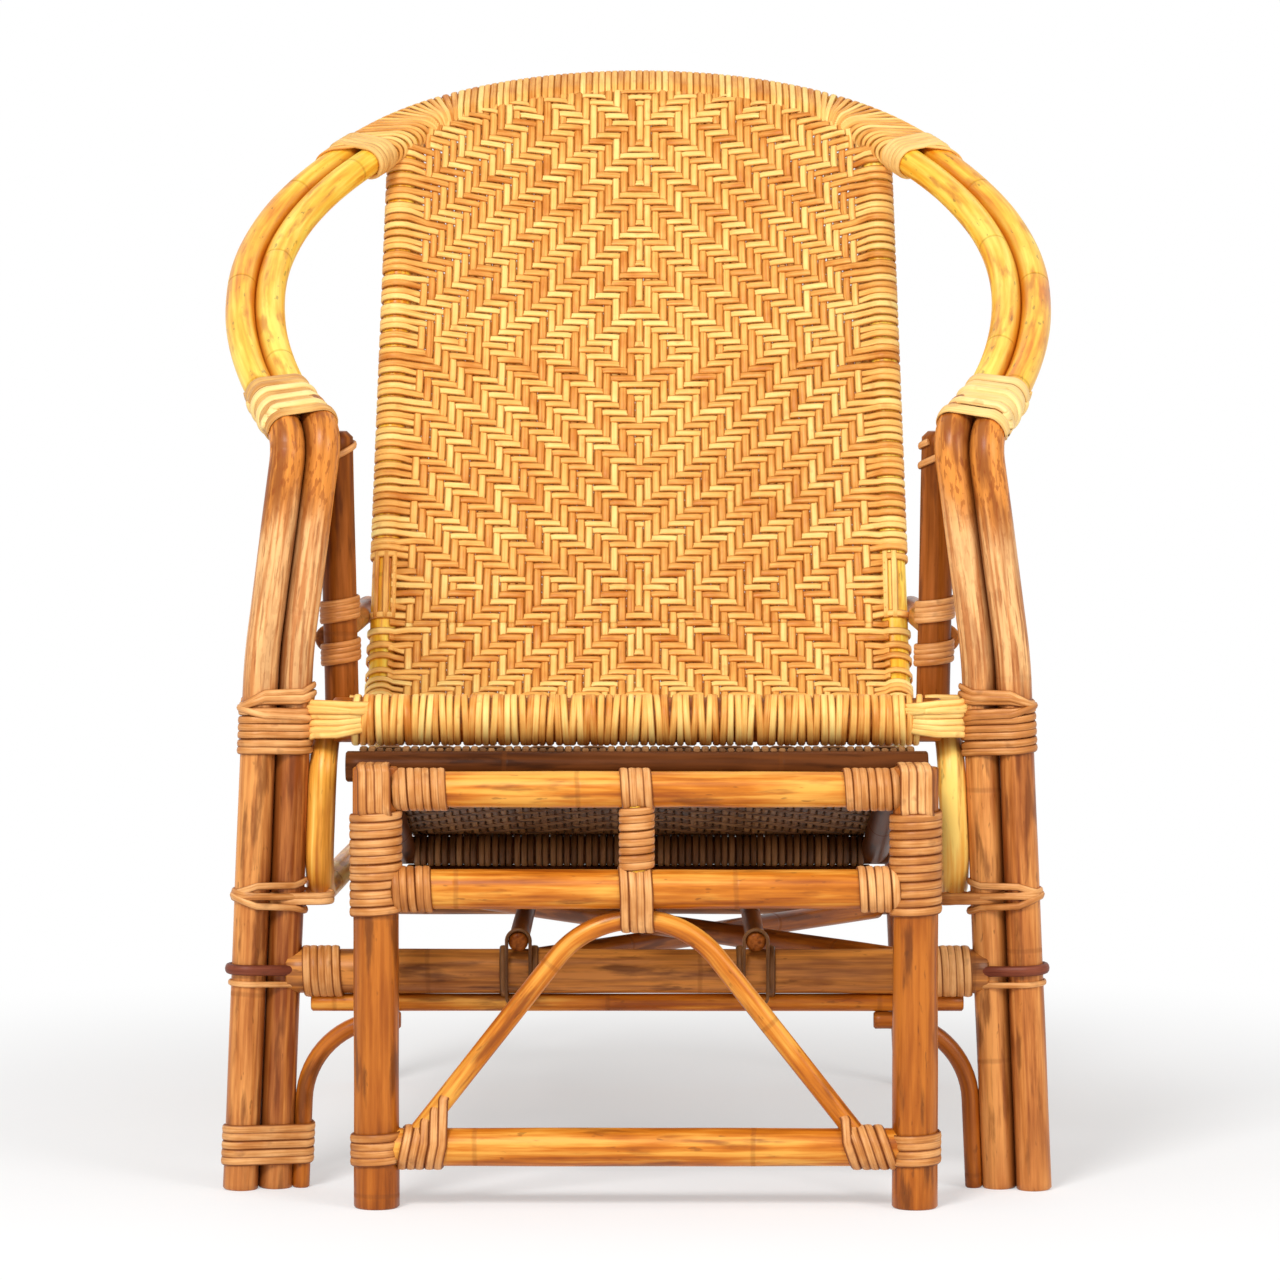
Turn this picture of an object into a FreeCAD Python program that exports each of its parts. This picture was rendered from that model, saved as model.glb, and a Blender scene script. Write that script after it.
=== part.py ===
import FreeCAD, Part
import math
import os
from FreeCAD import Vector

# Rattan lounge chair with a woven seat and back, a twin-pole hoop that forms back rail and arms,
# and a footrest that slides out from under the seat. Millimetres and degrees.
# The front faces -Y and +Z is up. Pieces are laid out from the plane of the front legs, and at the
# end everything moves along Y, so that the origin is on the floor at the middle of the footprint.

# Fits
joint_gap = 0.1             # air at coped ends and under bindings
twin_gap = 0.3              # least air between the two poles of a pair
sheet_gap = 0.3             # air between the woven back and the wrap at the hoop's top
slide_gap = 0.4             # running clearance of the footrest on its runners
strand_thickness = 3.0      # thickness of a binding strand
floor_cut = 60.0            # length that legs are left long before they are cut level

# Hoop and front legs
frame_pole = 29.0           # legs and arm posts
hoop_pole = 26.0
hoop_tilt = 24.0            # slope of the hoop's plane
arm_front_y = 23.0          # where the hoop's poles end, at the front of the arms
arm_front_z = 646.5
arm_draw_in = 55.0          # how far the arms' fronts stand in from the greatest width
hoop_half_width = 355.5     # half the greatest width over the outer pole's centres, at the elbows
hoop_widest_run = 308.0     # distance up the slope from the arm front to the greatest width
hoop_length = 806.0         # distance up the slope from the arm front to the top
hoop_top_radius = 296.0
arm_stub = 4.0              # straight end of a leg pole before its bend
arm_bend_radius = 32.0
leg_knee_z = 450.0          # height of the slight bend in a front leg
leg_knee_radius = 500.0
leg_upper_splay = 7.6
leg_lower_splay = 2.5

# Rear legs
rear_leg_angle = 41.4       # place on the hoop's top arc, from the cross direction
rear_foot_inset = 93.5      # how far inside the hoop's greatest width the feet stand
rear_foot_y = 640.0

# Seat and back
front_rail_pole = 38.0
front_rail_z = 397.0
rail_pole = 26.0            # bent side rails of seat and back
seat_front_inset = 133.5    # how far inside the hoop's greatest width the side rails run, at the front
seat_rear_inset = 113.5     # and at the crease
seat_depth = 437.0
seat_slope = 7.3
seat_bend_radius = 130.0
crease_pole = 24.0
weave_thickness = 6.0       # thickness of the woven sheet
sheet_rise = 7.0            # how far the sheet's middle lies above the side rails' centre-lines
warp_count = 55             # upright strands of the weave, which stand out on its face
warp_relief = 2.0
wrap_overrun = 5.0          # how far the weave's turns round the front rail pass the side rails

# Arm posts, side rails and guide bows
post_y = 60.0               # foot of a post, on the guide bow
post_top_z = 642.0
post_head_reach = 20.0      # distance up the arm from its front to the post's head
post_head_inset = 26.0      # and how far inside the arm's inner pole the head's axis lies
side_rail_pole = 24.0
side_rail_z = 463.0
bow_pole = 24.0
bow_top_z = 384.0
bow_low_z = 249.0
bow_radius = 45.0
bow_tail = 120.0            # run of a bow's upper end behind the front leg

# Base
stretcher_pole = 38.0
stretcher_z = 184.0
thin_pole = 15.0            # pole under the front stretcher and its two spandrels
under_pole_gap = 9.0        # air between the ends of that pole and the front legs
spandrel_radius = 70.0
spandrel_end = 200.0
runner_pole = 17.0
runner_half = 100.0
runner_overhang = 24.0
brace_pole = 20.0
brace_inset = 32.0          # how far inside the rear feet the braces end
brace_step = 1.0            # how far the upper brace lies below the stretchers' tops

# Footrest
foot_y = -94.0              # plane of the footrest's front frame
foot_leg_pole = 38.0
foot_leg_inset = 133.0      # how far inside the hoop's greatest width the legs stand
foot_leg_shift = 7.4        # how far to the right of the middle the two legs stand
foot_leg_top = 365.0
foot_top_pole = 30.0
foot_top_z = 346.5
foot_mid_pole = 33.0
foot_mid_z = 264.0
foot_low_pole = 32.0
foot_low_z = 50.0
arch_pole = 17.0
arch_foot_inset = 32.5      # how far inside the legs the arch's centre-line meets the low rail's
arch_slope = 51.8
foot_post_pole = 24.0
tray_pole = 26.0
tray_inset = 4.5            # how far inside the legs the tray's side rails run
tray_front_z = 363.0
tray_rear_y = 400.0
slide_bar_pole = 17.0
slide_bar_inset = 4.0       # how far the slide bar ends inside the tray's side rails

# Bindings, as lengths along the pole and places on it
arm_binding_length = 72.0
crown_overrun = 38.0        # how far the weave's turns round the hoop pass its shoulders
shoulder_binding_length = 34.0
leg_binding_length = 62.0
leg_binding_z = 397.0
cross_lashing_length = 24.0
ring_width = 8.0
ring_space = 3.0
ring_z = 181.0
foot_binding_length = 42.0
foot_binding_z = 39.0
post_lashing_length = 22.0
post_lashing_space = 40.0
end_binding_length = 38.0
corner_binding_length = 16.0
runner_lashing_length = 8.0
foot_leg_binding_length = 44.0
foot_low_binding_length = 30.0
rail_end_binding_length = 44.0
strap_width = 30.0

tilt = math.radians(hoop_tilt)
frame_r = frame_pole / 2
hoop_r = hoop_pole / 2
hoop_step = hoop_pole + twin_gap

parts = {}


def cylinder(start, end, diameter):
    """Straight pole between two points."""
    run = end - start
    return Part.makeCylinder(diameter / 2, run.Length, start, run)


def bent_wire(points, radii):
    """Straight runs between points, with a tangent arc of the given radius at each inner point."""
    edges = []
    start = points[0]
    for index, radius in enumerate(radii):
        corner = points[index + 1]
        before = (points[index] - corner).normalize()
        after = (points[index + 2] - corner).normalize()
        half = before.getAngle(after) / 2
        reach = radius / math.tan(half)
        inward = (before + after).normalize()
        middle = corner + inward * (radius / math.sin(half) - radius)
        edges.append(Part.LineSegment(start, corner + before * reach).toShape())
        edges.append(Part.Arc(corner + before * reach, middle, corner + after * reach).toShape())
        start = corner + after * reach
    edges.append(Part.LineSegment(start, points[-1]).toShape())
    return Part.Wire(edges)


def pole(wire, diameter):
    """Round pole along a wire of runs and arcs."""
    first = wire.Edges[0]
    start = first.valueAt(first.FirstParameter)
    along = first.tangentAt(first.FirstParameter)
    section = Part.Wire(Part.makeCircle(diameter / 2, start, along))
    return wire.makePipeShell([section], True, False)


def coped(shape, *tools):
    """Cut the shape to the poles that it meets, and keep its main piece."""
    for tool in tools:
        shape = shape.cut(tool)
    return max(shape.Solids, key=lambda solid: solid.Volume)


def level(shape):
    """Cut a leg level with the floor."""
    reach = 4 * floor_cut
    box = shape.BoundBox
    corner = Vector(box.XMin - reach, box.YMin - reach, -reach)
    below = Part.makeBox(box.XLength + 2 * reach, box.YLength + 2 * reach, reach, corner)
    return coped(shape, below)


def mirrored(shape):
    return shape.mirror(Vector(0, 0, 0), Vector(1, 0, 0))


def add_pair(name, right_shape):
    """The same piece on both sides, as two nodes."""
    parts[name + "_right"] = right_shape
    parts[name + "_left"] = mirrored(right_shape)


def add_both(name, *right_shapes):
    """Small pieces on both sides, as one node of separate solids."""
    solids = []
    for shape in right_shapes:
        solids.extend(shape.Solids)
        solids.extend(mirrored(shape).Solids)
    parts[name] = Part.makeCompound(solids)


def hull_wire(points, radius, axis):
    """Outline round discs of one radius, whose centres run anticlockwise about the axis."""
    count = len(points)
    normals = []
    for index in range(count):
        side = points[(index + 1) % count] - points[index]
        normals.append(side.cross(axis).normalize())
    edges = []
    for index in range(count):
        here = points[index]
        before = normals[index - 1]
        after = normals[index]
        turn = math.degrees(before.getAngle(after))
        middle = FreeCAD.Rotation(axis, turn / 2).multVec(before)
        places = [here + spoke * radius for spoke in (before, middle, after)]
        edges.append(Part.Arc(*places).toShape())
        following = points[(index + 1) % count]
        edges.append(Part.LineSegment(here + after * radius, following + after * radius).toShape())
    return Part.Wire(edges)


def hull_band(points, radius, axis, length):
    """Binding round parallel poles, starting at the points and running along the axis."""
    run = Vector(axis).normalize() * length
    outer = Part.Face(hull_wire(points, radius + joint_gap + strand_thickness, run)).extrude(run)
    inner = Part.Face(hull_wire(points, radius + joint_gap, run)).extrude(run)
    return outer.cut(inner)


def ring_band(start, axis, diameter, length):
    """Binding round one straight pole."""
    bore = diameter / 2 + joint_gap
    outer = Part.makeCylinder(bore + strand_thickness, length, start, axis)
    return outer.cut(Part.makeCylinder(bore, length, start, axis))


# Hoop: tangent arcs in the tilted plane, with x across and u up the slope
front_arc_radius = (hoop_widest_run ** 2 + arm_draw_in ** 2) / (2 * arm_draw_in)
top_rise = hoop_length - hoop_top_radius - hoop_widest_run
side_arc_radius = (hoop_half_width ** 2 + top_rise ** 2 - hoop_top_radius ** 2) / (
    2 * (hoop_half_width - hoop_top_radius)
)
front_angle = -math.asin(hoop_widest_run / front_arc_radius)
shoulder_angle = math.atan2(top_rise, side_arc_radius - hoop_half_width)
crown_start = shoulder_angle - crown_overrun / side_arc_radius
hoop_arcs = {
    "front": (hoop_half_width - front_arc_radius, hoop_widest_run, front_arc_radius),
    "side": (hoop_half_width - side_arc_radius, hoop_widest_run, side_arc_radius),
    "top": (0.0, hoop_length - hoop_top_radius, hoop_top_radius),
}
hoop_normal = Vector(0, -math.sin(tilt), math.cos(tilt))
hoop_slope = Vector(0, math.cos(tilt), math.sin(tilt))

# Runs of a front leg, and the step between its twin poles that keeps them apart round the bend
arm_run = Vector(math.sin(front_angle), 0, 0) - hoop_slope * math.cos(front_angle)
arm_side = Vector(math.cos(front_angle), 0, 0) + hoop_slope * math.sin(front_angle)
upper_run = Vector(math.sin(math.radians(leg_upper_splay)), 0, -math.cos(math.radians(leg_upper_splay)))
lower_run = Vector(math.sin(math.radians(leg_lower_splay)), 0, -math.cos(math.radians(leg_lower_splay)))
leg_step = (frame_pole + twin_gap) / arm_side.cross(upper_run).Length


def in_hoop(x, u):
    return Vector(x, arm_front_y + u * math.cos(tilt), arm_front_z + u * math.sin(tilt))


def on_hoop(arc, angle, inset=0.0, side=1):
    """Point on one of the hoop's arcs, or on a parallel arc set in from it."""
    centre_x, centre_u, radius = hoop_arcs[arc]
    across = centre_x + (radius - inset) * math.cos(angle)
    return in_hoop(side * across, centre_u + (radius - inset) * math.sin(angle))


def hoop_arc(arc, start, end, inset, side=1):
    middle = (start + end) / 2
    places = [on_hoop(arc, angle, inset, side) for angle in (start, middle, end)]
    return Part.Arc(*places).toShape()


def hoop_wire(inset):
    return Part.Wire([
        hoop_arc("front", front_angle, 0.0, inset),
        hoop_arc("side", 0.0, shoulder_angle, inset),
        hoop_arc("top", shoulder_angle, math.pi - shoulder_angle, inset),
        hoop_arc("side", shoulder_angle, 0.0, inset, -1),
        hoop_arc("front", 0.0, front_angle, inset, -1),
    ])


def hoop_sleeve(arc, start, end, cover):
    """Solid round both hoop poles between two angles on one arc, covering them by the given thickness."""
    centre = in_hoop(hoop_arcs[arc][0], hoop_arcs[arc][1])
    tangent = hoop_normal.cross(on_hoop(arc, start) - centre)
    ends = [on_hoop(arc, start), on_hoop(arc, start, hoop_step)]
    face = Part.Face(hull_wire(ends, hoop_r + cover, tangent))
    return face.revolve(centre, hoop_normal, math.degrees(end - start))


def hoop_band(arc, start, length):
    """Binding round both hoop poles, from an angle on the outer pole's arc."""
    end = start + length / hoop_arcs[arc][2]
    outside = hoop_sleeve(arc, start, end, joint_gap + strand_thickness)
    return outside.cut(hoop_sleeve(arc, start, end, joint_gap))


def crown_sleeve(cover):
    """Solid round both poles over the top of the hoop, between the shoulder bindings."""
    side = hoop_sleeve("side", crown_start, shoulder_angle, cover)
    top = hoop_sleeve("top", shoulder_angle, math.pi - shoulder_angle, cover)
    return top.fuse([side, mirrored(side)]).removeSplitter()


outer_hoop = hoop_wire(0.0)
inner_hoop = hoop_wire(hoop_step)
parts["hoop_outer_pole"] = pole(outer_hoop, hoop_pole)
parts["hoop_inner_pole"] = pole(inner_hoop, hoop_pole)
inner_hoop_tool = pole(inner_hoop, hoop_pole + 2 * joint_gap)
parts["crown_wrap"] = coped(crown_sleeve(joint_gap + strand_thickness), crown_sleeve(joint_gap))
crown_tool = crown_sleeve(2 * joint_gap + strand_thickness)
arm_band_end = front_angle + arm_binding_length / front_arc_radius
arm_band_tool = hoop_sleeve("front", front_angle, arm_band_end, 2 * joint_gap + strand_thickness)
shoulder_start = crown_start - (shoulder_binding_length + joint_gap) / side_arc_radius
shoulder_tool = hoop_sleeve("side", shoulder_start, crown_start, 2 * joint_gap + strand_thickness)

# Front legs: each hoop pole is continued by a leg pole, bent down at the front of the arm
arm_end = on_hoop("front", front_angle)
arm_reach = arm_stub + arm_bend_radius * math.tan(arm_run.getAngle(upper_run) / 2)
arm_corner = arm_end + arm_run * arm_reach
knee = arm_corner + upper_run * ((leg_knee_z - arm_corner.z) / upper_run.z)
leg_end = knee + lower_run * ((-floor_cut - knee.z) / lower_run.z)
twin_shift = arm_side * -leg_step


def outer_leg_at(z):
    return knee + lower_run * ((z - knee.z) / lower_run.z)


def inner_leg_at(z):
    start = knee + twin_shift
    return start + lower_run * ((z - start.z) / lower_run.z)


leg_wire = bent_wire([arm_end, arm_corner, knee, leg_end], [arm_bend_radius, leg_knee_radius])
inner_leg_wire = leg_wire.translated(twin_shift)
add_pair("front_leg_outer", level(pole(leg_wire, frame_pole)))
add_pair("front_leg_inner", level(pole(inner_leg_wire, frame_pole)))
inner_leg_tool = pole(inner_leg_wire, frame_pole + 2 * joint_gap)

# Rear legs: from under the hoop's top arc down to the floor
rear_top = on_hoop("top", math.radians(rear_leg_angle))
rear_foot = Vector(hoop_half_width - rear_foot_inset, rear_foot_y, 0)
rear_run = (rear_foot - rear_top).normalize()
rear_end = rear_foot + rear_run * floor_cut


def rear_leg_at(z):
    return rear_top + rear_run * ((z - rear_top.z) / rear_run.z)


rear_leg = level(cylinder(rear_top, rear_end, frame_pole))
add_pair("rear_leg", coped(rear_leg, crown_tool))
rear_leg_tool = cylinder(rear_top, rear_end, frame_pole + 2 * joint_gap)

# Side rails of seat and back: one bent pole on each side, from the front rail to the hoop
rail_r = rail_pole / 2
front_rail_r = front_rail_pole / 2
seat_front_half = hoop_half_width - seat_front_inset
seat_rear_half = hoop_half_width - seat_rear_inset
wrap_half = seat_front_half + rail_r + wrap_overrun
front_rail_y = inner_leg_at(front_rail_z).y
rail_front = Vector(seat_front_half, front_rail_y, front_rail_z + front_rail_r - rail_r)
seat_drop = seat_depth * math.tan(math.radians(seat_slope))
crease_corner = Vector(seat_rear_half, front_rail_y + seat_depth, rail_front.z - seat_drop)
stile_top = on_hoop("top", shoulder_angle, hoop_step)
rail_wire = bent_wire([rail_front, crease_corner, stile_top], [seat_bend_radius])
rail_tool = pole(rail_wire, rail_pole + 2 * joint_gap)
rail_tool_left = mirrored(rail_tool)
seat_run = (crease_corner - rail_front).normalize()
stile_run = (stile_top - crease_corner).normalize()


def stile_at(z):
    return crease_corner + stile_run * ((z - crease_corner.z) / stile_run.z)


# Guide bows: hairpins lashed inside the front legs, whose lower runs reach the rear legs
bow_r = bow_pole / 2
bow_inset = Vector(-(frame_r + joint_gap + bow_r), 0, 0)
bow_top = inner_leg_at(bow_top_z) + bow_inset
bow_low = inner_leg_at(bow_low_z) + bow_inset
bow_wire = bent_wire(
    [bow_top + Vector(0, bow_tail, 0), bow_top, bow_low, rear_leg_at(bow_low_z)], [bow_radius, bow_radius]
)
bow_tool = pole(bow_wire, bow_pole + 2 * joint_gap)
add_pair("guide_bow", coped(pole(bow_wire, bow_pole), rear_leg_tool))

# Seat front rail, with the weave's turns round it
front_rail_half = Vector(bow_top.x, front_rail_y, front_rail_z)
front_rail = cylinder(
    Vector(-front_rail_half.x, front_rail_y, front_rail_z), front_rail_half, front_rail_pole
)
parts["seat_front_rail"] = coped(front_rail, bow_tool, mirrored(bow_tool))
front_rail_tool = cylinder(
    Vector(-front_rail_half.x, front_rail_y, front_rail_z), front_rail_half, front_rail_pole + 2 * joint_gap
)
add_pair("seat_side_rail", coped(pole(rail_wire, rail_pole), front_rail_tool, crown_tool, shoulder_tool))
front_wrap = ring_band(
    Vector(-wrap_half, front_rail_y, front_rail_z), Vector(1, 0, 0), front_rail_pole, 2 * wrap_half
)
parts["front_rail_wrap"] = coped(front_wrap, rail_tool, rail_tool_left)

# Crease rail: carries the seat's side rails from below, at their bend
into_seat = -seat_run
half_bend = into_seat.getAngle(stile_run) / 2
bend_inward = (into_seat + stile_run).normalize()
bend_middle = crease_corner + bend_inward * (seat_bend_radius / math.sin(half_bend) - seat_bend_radius)
crease_centre = bend_middle - bend_inward * (rail_r + joint_gap + crease_pole / 2)
crease_half = seat_rear_half + rail_r
crease_rail = cylinder(
    Vector(-crease_half, crease_centre.y, crease_centre.z),
    Vector(crease_half, crease_centre.y, crease_centre.z),
    crease_pole,
)
parts["seat_crease_rail"] = coped(crease_rail, rail_tool, rail_tool_left)

# Woven sheet, stretched between the side rails and cut to them
seat_normal = Vector(0, -seat_run.z, seat_run.y).normalize()
back_run = Vector(0, stile_run.y, stile_run.z).normalize()
back_normal = Vector(0, -back_run.z, back_run.y)
bend_reach = seat_bend_radius / math.tan(half_bend)
sheet_start = rail_front + seat_normal * sheet_rise
bend_start = crease_corner - seat_run * bend_reach + seat_normal * sheet_rise
bend_end = crease_corner + stile_run * bend_reach + back_normal * sheet_rise
bend_middle_sheet = bend_middle + bend_inward * sheet_rise


def in_profile(point):
    return Vector(0, point.y, point.z)


def cross_section(point, normal, half):
    """Rectangle across the chair, as thick as the weave, at a point of the side profile."""
    inner = in_profile(point) + normal * (weave_thickness / 2)
    outer = in_profile(point) - normal * (weave_thickness / 2)
    aside = Vector(half, 0, 0)
    return Part.makePolygon([inner - aside, inner + aside, outer + aside, outer - aside, inner - aside])


seat_sections = [
    cross_section(sheet_start, seat_normal, seat_front_half),
    cross_section(bend_start, seat_normal, seat_rear_half),
]
seat_sheet = Part.makeLoft(seat_sections, True, True)
bend_path = Part.Wire(
    Part.Arc(in_profile(bend_start), in_profile(bend_middle_sheet), in_profile(bend_end)).toShape()
)
bend_sheet = bend_path.makePipeShell([cross_section(bend_start, seat_normal, seat_rear_half)], True, True)
front_cover = front_rail_pole + 2 * (strand_thickness + 2 * joint_gap)
front_wrap_tool = cylinder(
    Vector(-front_rail_half.x, front_rail_y, front_rail_z), front_rail_half, front_cover
)
parts["woven_seat"] = coped(seat_sheet.fuse(bend_sheet), front_wrap_tool, rail_tool, rail_tool_left)

# Woven back: ruled between the crease, which is straight, and the hoop's top arc, in front of its wrap
crown_middle = on_hoop("top", math.pi / 2, hoop_step)
middle_run = (crown_middle - in_profile(bend_end)).normalize()
crown_cover = hoop_r + joint_gap + strand_thickness + sheet_gap + weave_thickness / 2
crown_lift = back_normal * (crown_cover / math.cos(middle_run.getAngle(back_run)))
crown_normal = hoop_slope * (1 / hoop_slope.dot(back_normal))


def warp_ridges(place, normal):
    """Line across the chair that rises to a ridge on each warp, from the left edge to the right."""
    points = []
    for step in range(2 * warp_count + 1):
        rise = weave_thickness / 2 - (0 if step % 2 else warp_relief)
        points.append(place(step / warp_count - 1) + normal * rise)
    return Part.makePolygon(points).Edges


def ridged_section(place, rear_edge, normal):
    """Outline of the weave across the chair: ridged on the sitter's side, smooth behind."""
    drop = normal * (-weave_thickness / 2)
    front = warp_ridges(place, normal)
    front_rise = normal * (weave_thickness / 2 - warp_relief)
    right_end = Part.LineSegment(place(1) + front_rise, place(1) + drop).toShape()
    left_end = Part.LineSegment(place(-1) + drop, place(-1) + front_rise).toShape()
    return Part.Wire(front + [right_end, rear_edge.translated(drop), left_end])


def crown_place(share):
    """Point on the top arc of the inner pole, moved to the sitter's side of the wrap."""
    angle = math.pi / 2 + share * (shoulder_angle - math.pi / 2)
    return on_hoop("top", angle, hoop_step) + crown_lift


def crease_place(share):
    return in_profile(bend_end) + back_run * joint_gap + Vector(share * seat_rear_half, 0, 0)


crown_rear = Part.Arc(crown_place(1), crown_place(0), crown_place(-1)).toShape()
crease_rear = Part.LineSegment(crease_place(1), crease_place(-1)).toShape()
back_sections = [
    ridged_section(crease_place, crease_rear, back_normal),
    ridged_section(crown_place, crown_rear, crown_normal),
]
back_sheet = Part.makeLoft(back_sections, True, True)
parts["woven_back"] = coped(
    back_sheet, crown_tool, shoulder_tool, mirrored(shoulder_tool), rail_tool, rail_tool_left
)

# Arm posts: from the guide bow's upper run, beside the seat's side rail, to the underside of the arm
post_share = (post_y - rail_front.y) / seat_depth
post_rail_x = seat_front_half + (seat_rear_half - seat_front_half) * post_share
post_foot = Vector(post_rail_x + rail_r + joint_gap + frame_r, post_y, bow_top_z)
arm_place = on_hoop("front", front_angle + post_head_reach / front_arc_radius, hoop_step)
post_run = (arm_place - Vector(post_head_inset, 0, 0) - post_foot).normalize()
post_head = post_foot + post_run * ((post_top_z - post_foot.z) / post_run.z)
post = cylinder(post_foot, post_head, frame_pole)
add_pair("arm_post", coped(post, bow_tool, inner_leg_tool, inner_hoop_tool, arm_band_tool))
post_tool = cylinder(post_foot, post_head, frame_pole + 2 * joint_gap)

# Side rails at arm height: from the posts, past the stiles that they hold, to the rear legs
side_rail_x = stile_at(side_rail_z).x + rail_r + joint_gap + side_rail_pole / 2
side_rail_rear = Vector(side_rail_x, rear_leg_at(side_rail_z).y, side_rail_z)
side_rail = cylinder(Vector(side_rail_x, post_y, side_rail_z), side_rail_rear, side_rail_pole)
add_pair("side_rail", coped(side_rail, post_tool, rear_leg_tool))
side_rail_bore = side_rail_pole + 2 * joint_gap
side_rail_tool = cylinder(Vector(side_rail_x, post_y, side_rail_z), side_rail_rear, side_rail_bore)

# Base: stretchers between the legs, runners on top of them and crossed braces between them
stretcher_r = stretcher_pole / 2
front_stretcher_end = inner_leg_at(stretcher_z)
rear_stretcher_end = rear_leg_at(stretcher_z)


def across(point):
    """The same place on the left side."""
    return Vector(-point.x, point.y, point.z)


front_stretcher = cylinder(across(front_stretcher_end), front_stretcher_end, stretcher_pole)
parts["front_stretcher"] = coped(front_stretcher, inner_leg_tool, mirrored(inner_leg_tool))
rear_stretcher = cylinder(across(rear_stretcher_end), rear_stretcher_end, stretcher_pole)
parts["rear_stretcher"] = coped(rear_stretcher, rear_leg_tool, mirrored(rear_leg_tool))
stretcher_tools = [
    cylinder(across(front_stretcher_end), front_stretcher_end, stretcher_pole + 2 * joint_gap),
    cylinder(across(rear_stretcher_end), rear_stretcher_end, stretcher_pole + 2 * joint_gap),
]

under_pole_z = stretcher_z - stretcher_r - joint_gap - thin_pole / 2
under_pole_half = front_stretcher_end.x - frame_r - under_pole_gap
under_pole_end = Vector(under_pole_half, front_stretcher_end.y, under_pole_z)
parts["under_stretcher_pole"] = coped(
    cylinder(across(under_pole_end), under_pole_end, thin_pole), inner_leg_tool, mirrored(inner_leg_tool)
)
spandrel_z = under_pole_z - thin_pole - joint_gap
spandrel_inset = Vector(-(frame_r + joint_gap + thin_pole / 2), 0, 0)
spandrel_wire = bent_wire(
    [
        inner_leg_at(-floor_cut) + spandrel_inset,
        inner_leg_at(spandrel_z) + spandrel_inset,
        Vector(spandrel_end, front_stretcher_end.y, spandrel_z),
    ],
    [spandrel_radius],
)
add_pair("spandrel", level(pole(spandrel_wire, thin_pole)))

runner_r = runner_pole / 2
runner_z = stretcher_z + stretcher_r + joint_gap + runner_r
runner_start = Vector(runner_half, front_stretcher_end.y - runner_overhang, runner_z)
runner_end = Vector(runner_half, rear_stretcher_end.y + runner_overhang, runner_z)
add_pair("runner", cylinder(runner_start, runner_end, runner_pole))

brace_half = rear_foot.x - brace_inset
brace_z = stretcher_z + stretcher_r - brace_step - brace_pole / 2
brace_low_z = brace_z - brace_pole - joint_gap
brace_upper = cylinder(
    Vector(brace_half, front_stretcher_end.y, brace_z),
    Vector(-brace_half, rear_stretcher_end.y, brace_z),
    brace_pole,
)
brace_lower = cylinder(
    Vector(-brace_half, front_stretcher_end.y, brace_low_z),
    Vector(brace_half, rear_stretcher_end.y, brace_low_z),
    brace_pole,
)
parts["base_brace_upper"] = coped(brace_upper, *stretcher_tools)
thin_tool = cylinder(across(under_pole_end), under_pole_end, thin_pole + 2 * joint_gap)
parts["base_brace_lower"] = coped(brace_lower, thin_tool, *stretcher_tools)

# Footrest front frame: two legs, three rails, an arch and a short post
foot_leg_r = foot_leg_pole / 2
foot_leg_half = hoop_half_width - foot_leg_inset
leg_foot = Vector(foot_leg_half, foot_y, 0)
leg_head = Vector(foot_leg_half, foot_y, foot_leg_top)
leg_shift = Vector(foot_leg_shift, 0, 0)


def at_legs(right_shape):
    """The same shape at both legs of the footrest."""
    return [right_shape.translated(leg_shift), mirrored(right_shape).translated(leg_shift)]


foot_legs = at_legs(cylinder(leg_foot, leg_head, foot_leg_pole))
parts["footrest_leg_right"] = foot_legs[0]
parts["footrest_leg_left"] = foot_legs[1]
foot_leg_tools = at_legs(cylinder(leg_foot, leg_head, foot_leg_pole + 2 * joint_gap))


def foot_rail(z, diameter):
    end = Vector(foot_leg_half, foot_y, z)
    return cylinder(across(end) + leg_shift, end + leg_shift, diameter)


foot_rails = {
    "top": (foot_top_z, foot_top_pole),
    "mid": (foot_mid_z, foot_mid_pole),
    "low": (foot_low_z, foot_low_pole),
}
foot_rail_tools = {}
for rail_name, (rail_z, rail_diameter) in foot_rails.items():
    parts["footrest_%s_rail" % rail_name] = coped(foot_rail(rail_z, rail_diameter), *foot_leg_tools)
    foot_rail_tools[rail_name] = foot_rail(rail_z, rail_diameter + 2 * joint_gap)

arch_foot_half = foot_leg_half - arch_foot_inset
arch_top_z = foot_mid_z - foot_mid_pole / 2 - joint_gap - arch_pole / 2
arch_peak_z = foot_low_z + arch_foot_half * math.tan(math.radians(arch_slope))
arch_radius = (arch_peak_z - arch_top_z) / (1 / math.cos(math.radians(arch_slope)) - 1)
arch_foot = Vector(arch_foot_half, foot_y, foot_low_z)
arch_wire = bent_wire([across(arch_foot), Vector(0, foot_y, arch_peak_z), arch_foot], [arch_radius])
parts["footrest_arch"] = coped(pole(arch_wire, arch_pole), foot_rail_tools["low"], *foot_leg_tools)
arch_tool = pole(arch_wire, arch_pole + 2 * joint_gap)
foot_post = cylinder(Vector(0, foot_y, foot_mid_z), Vector(0, foot_y, foot_top_z), foot_post_pole)
parts["footrest_post"] = coped(foot_post, foot_rail_tools["top"], foot_rail_tools["mid"])

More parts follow.
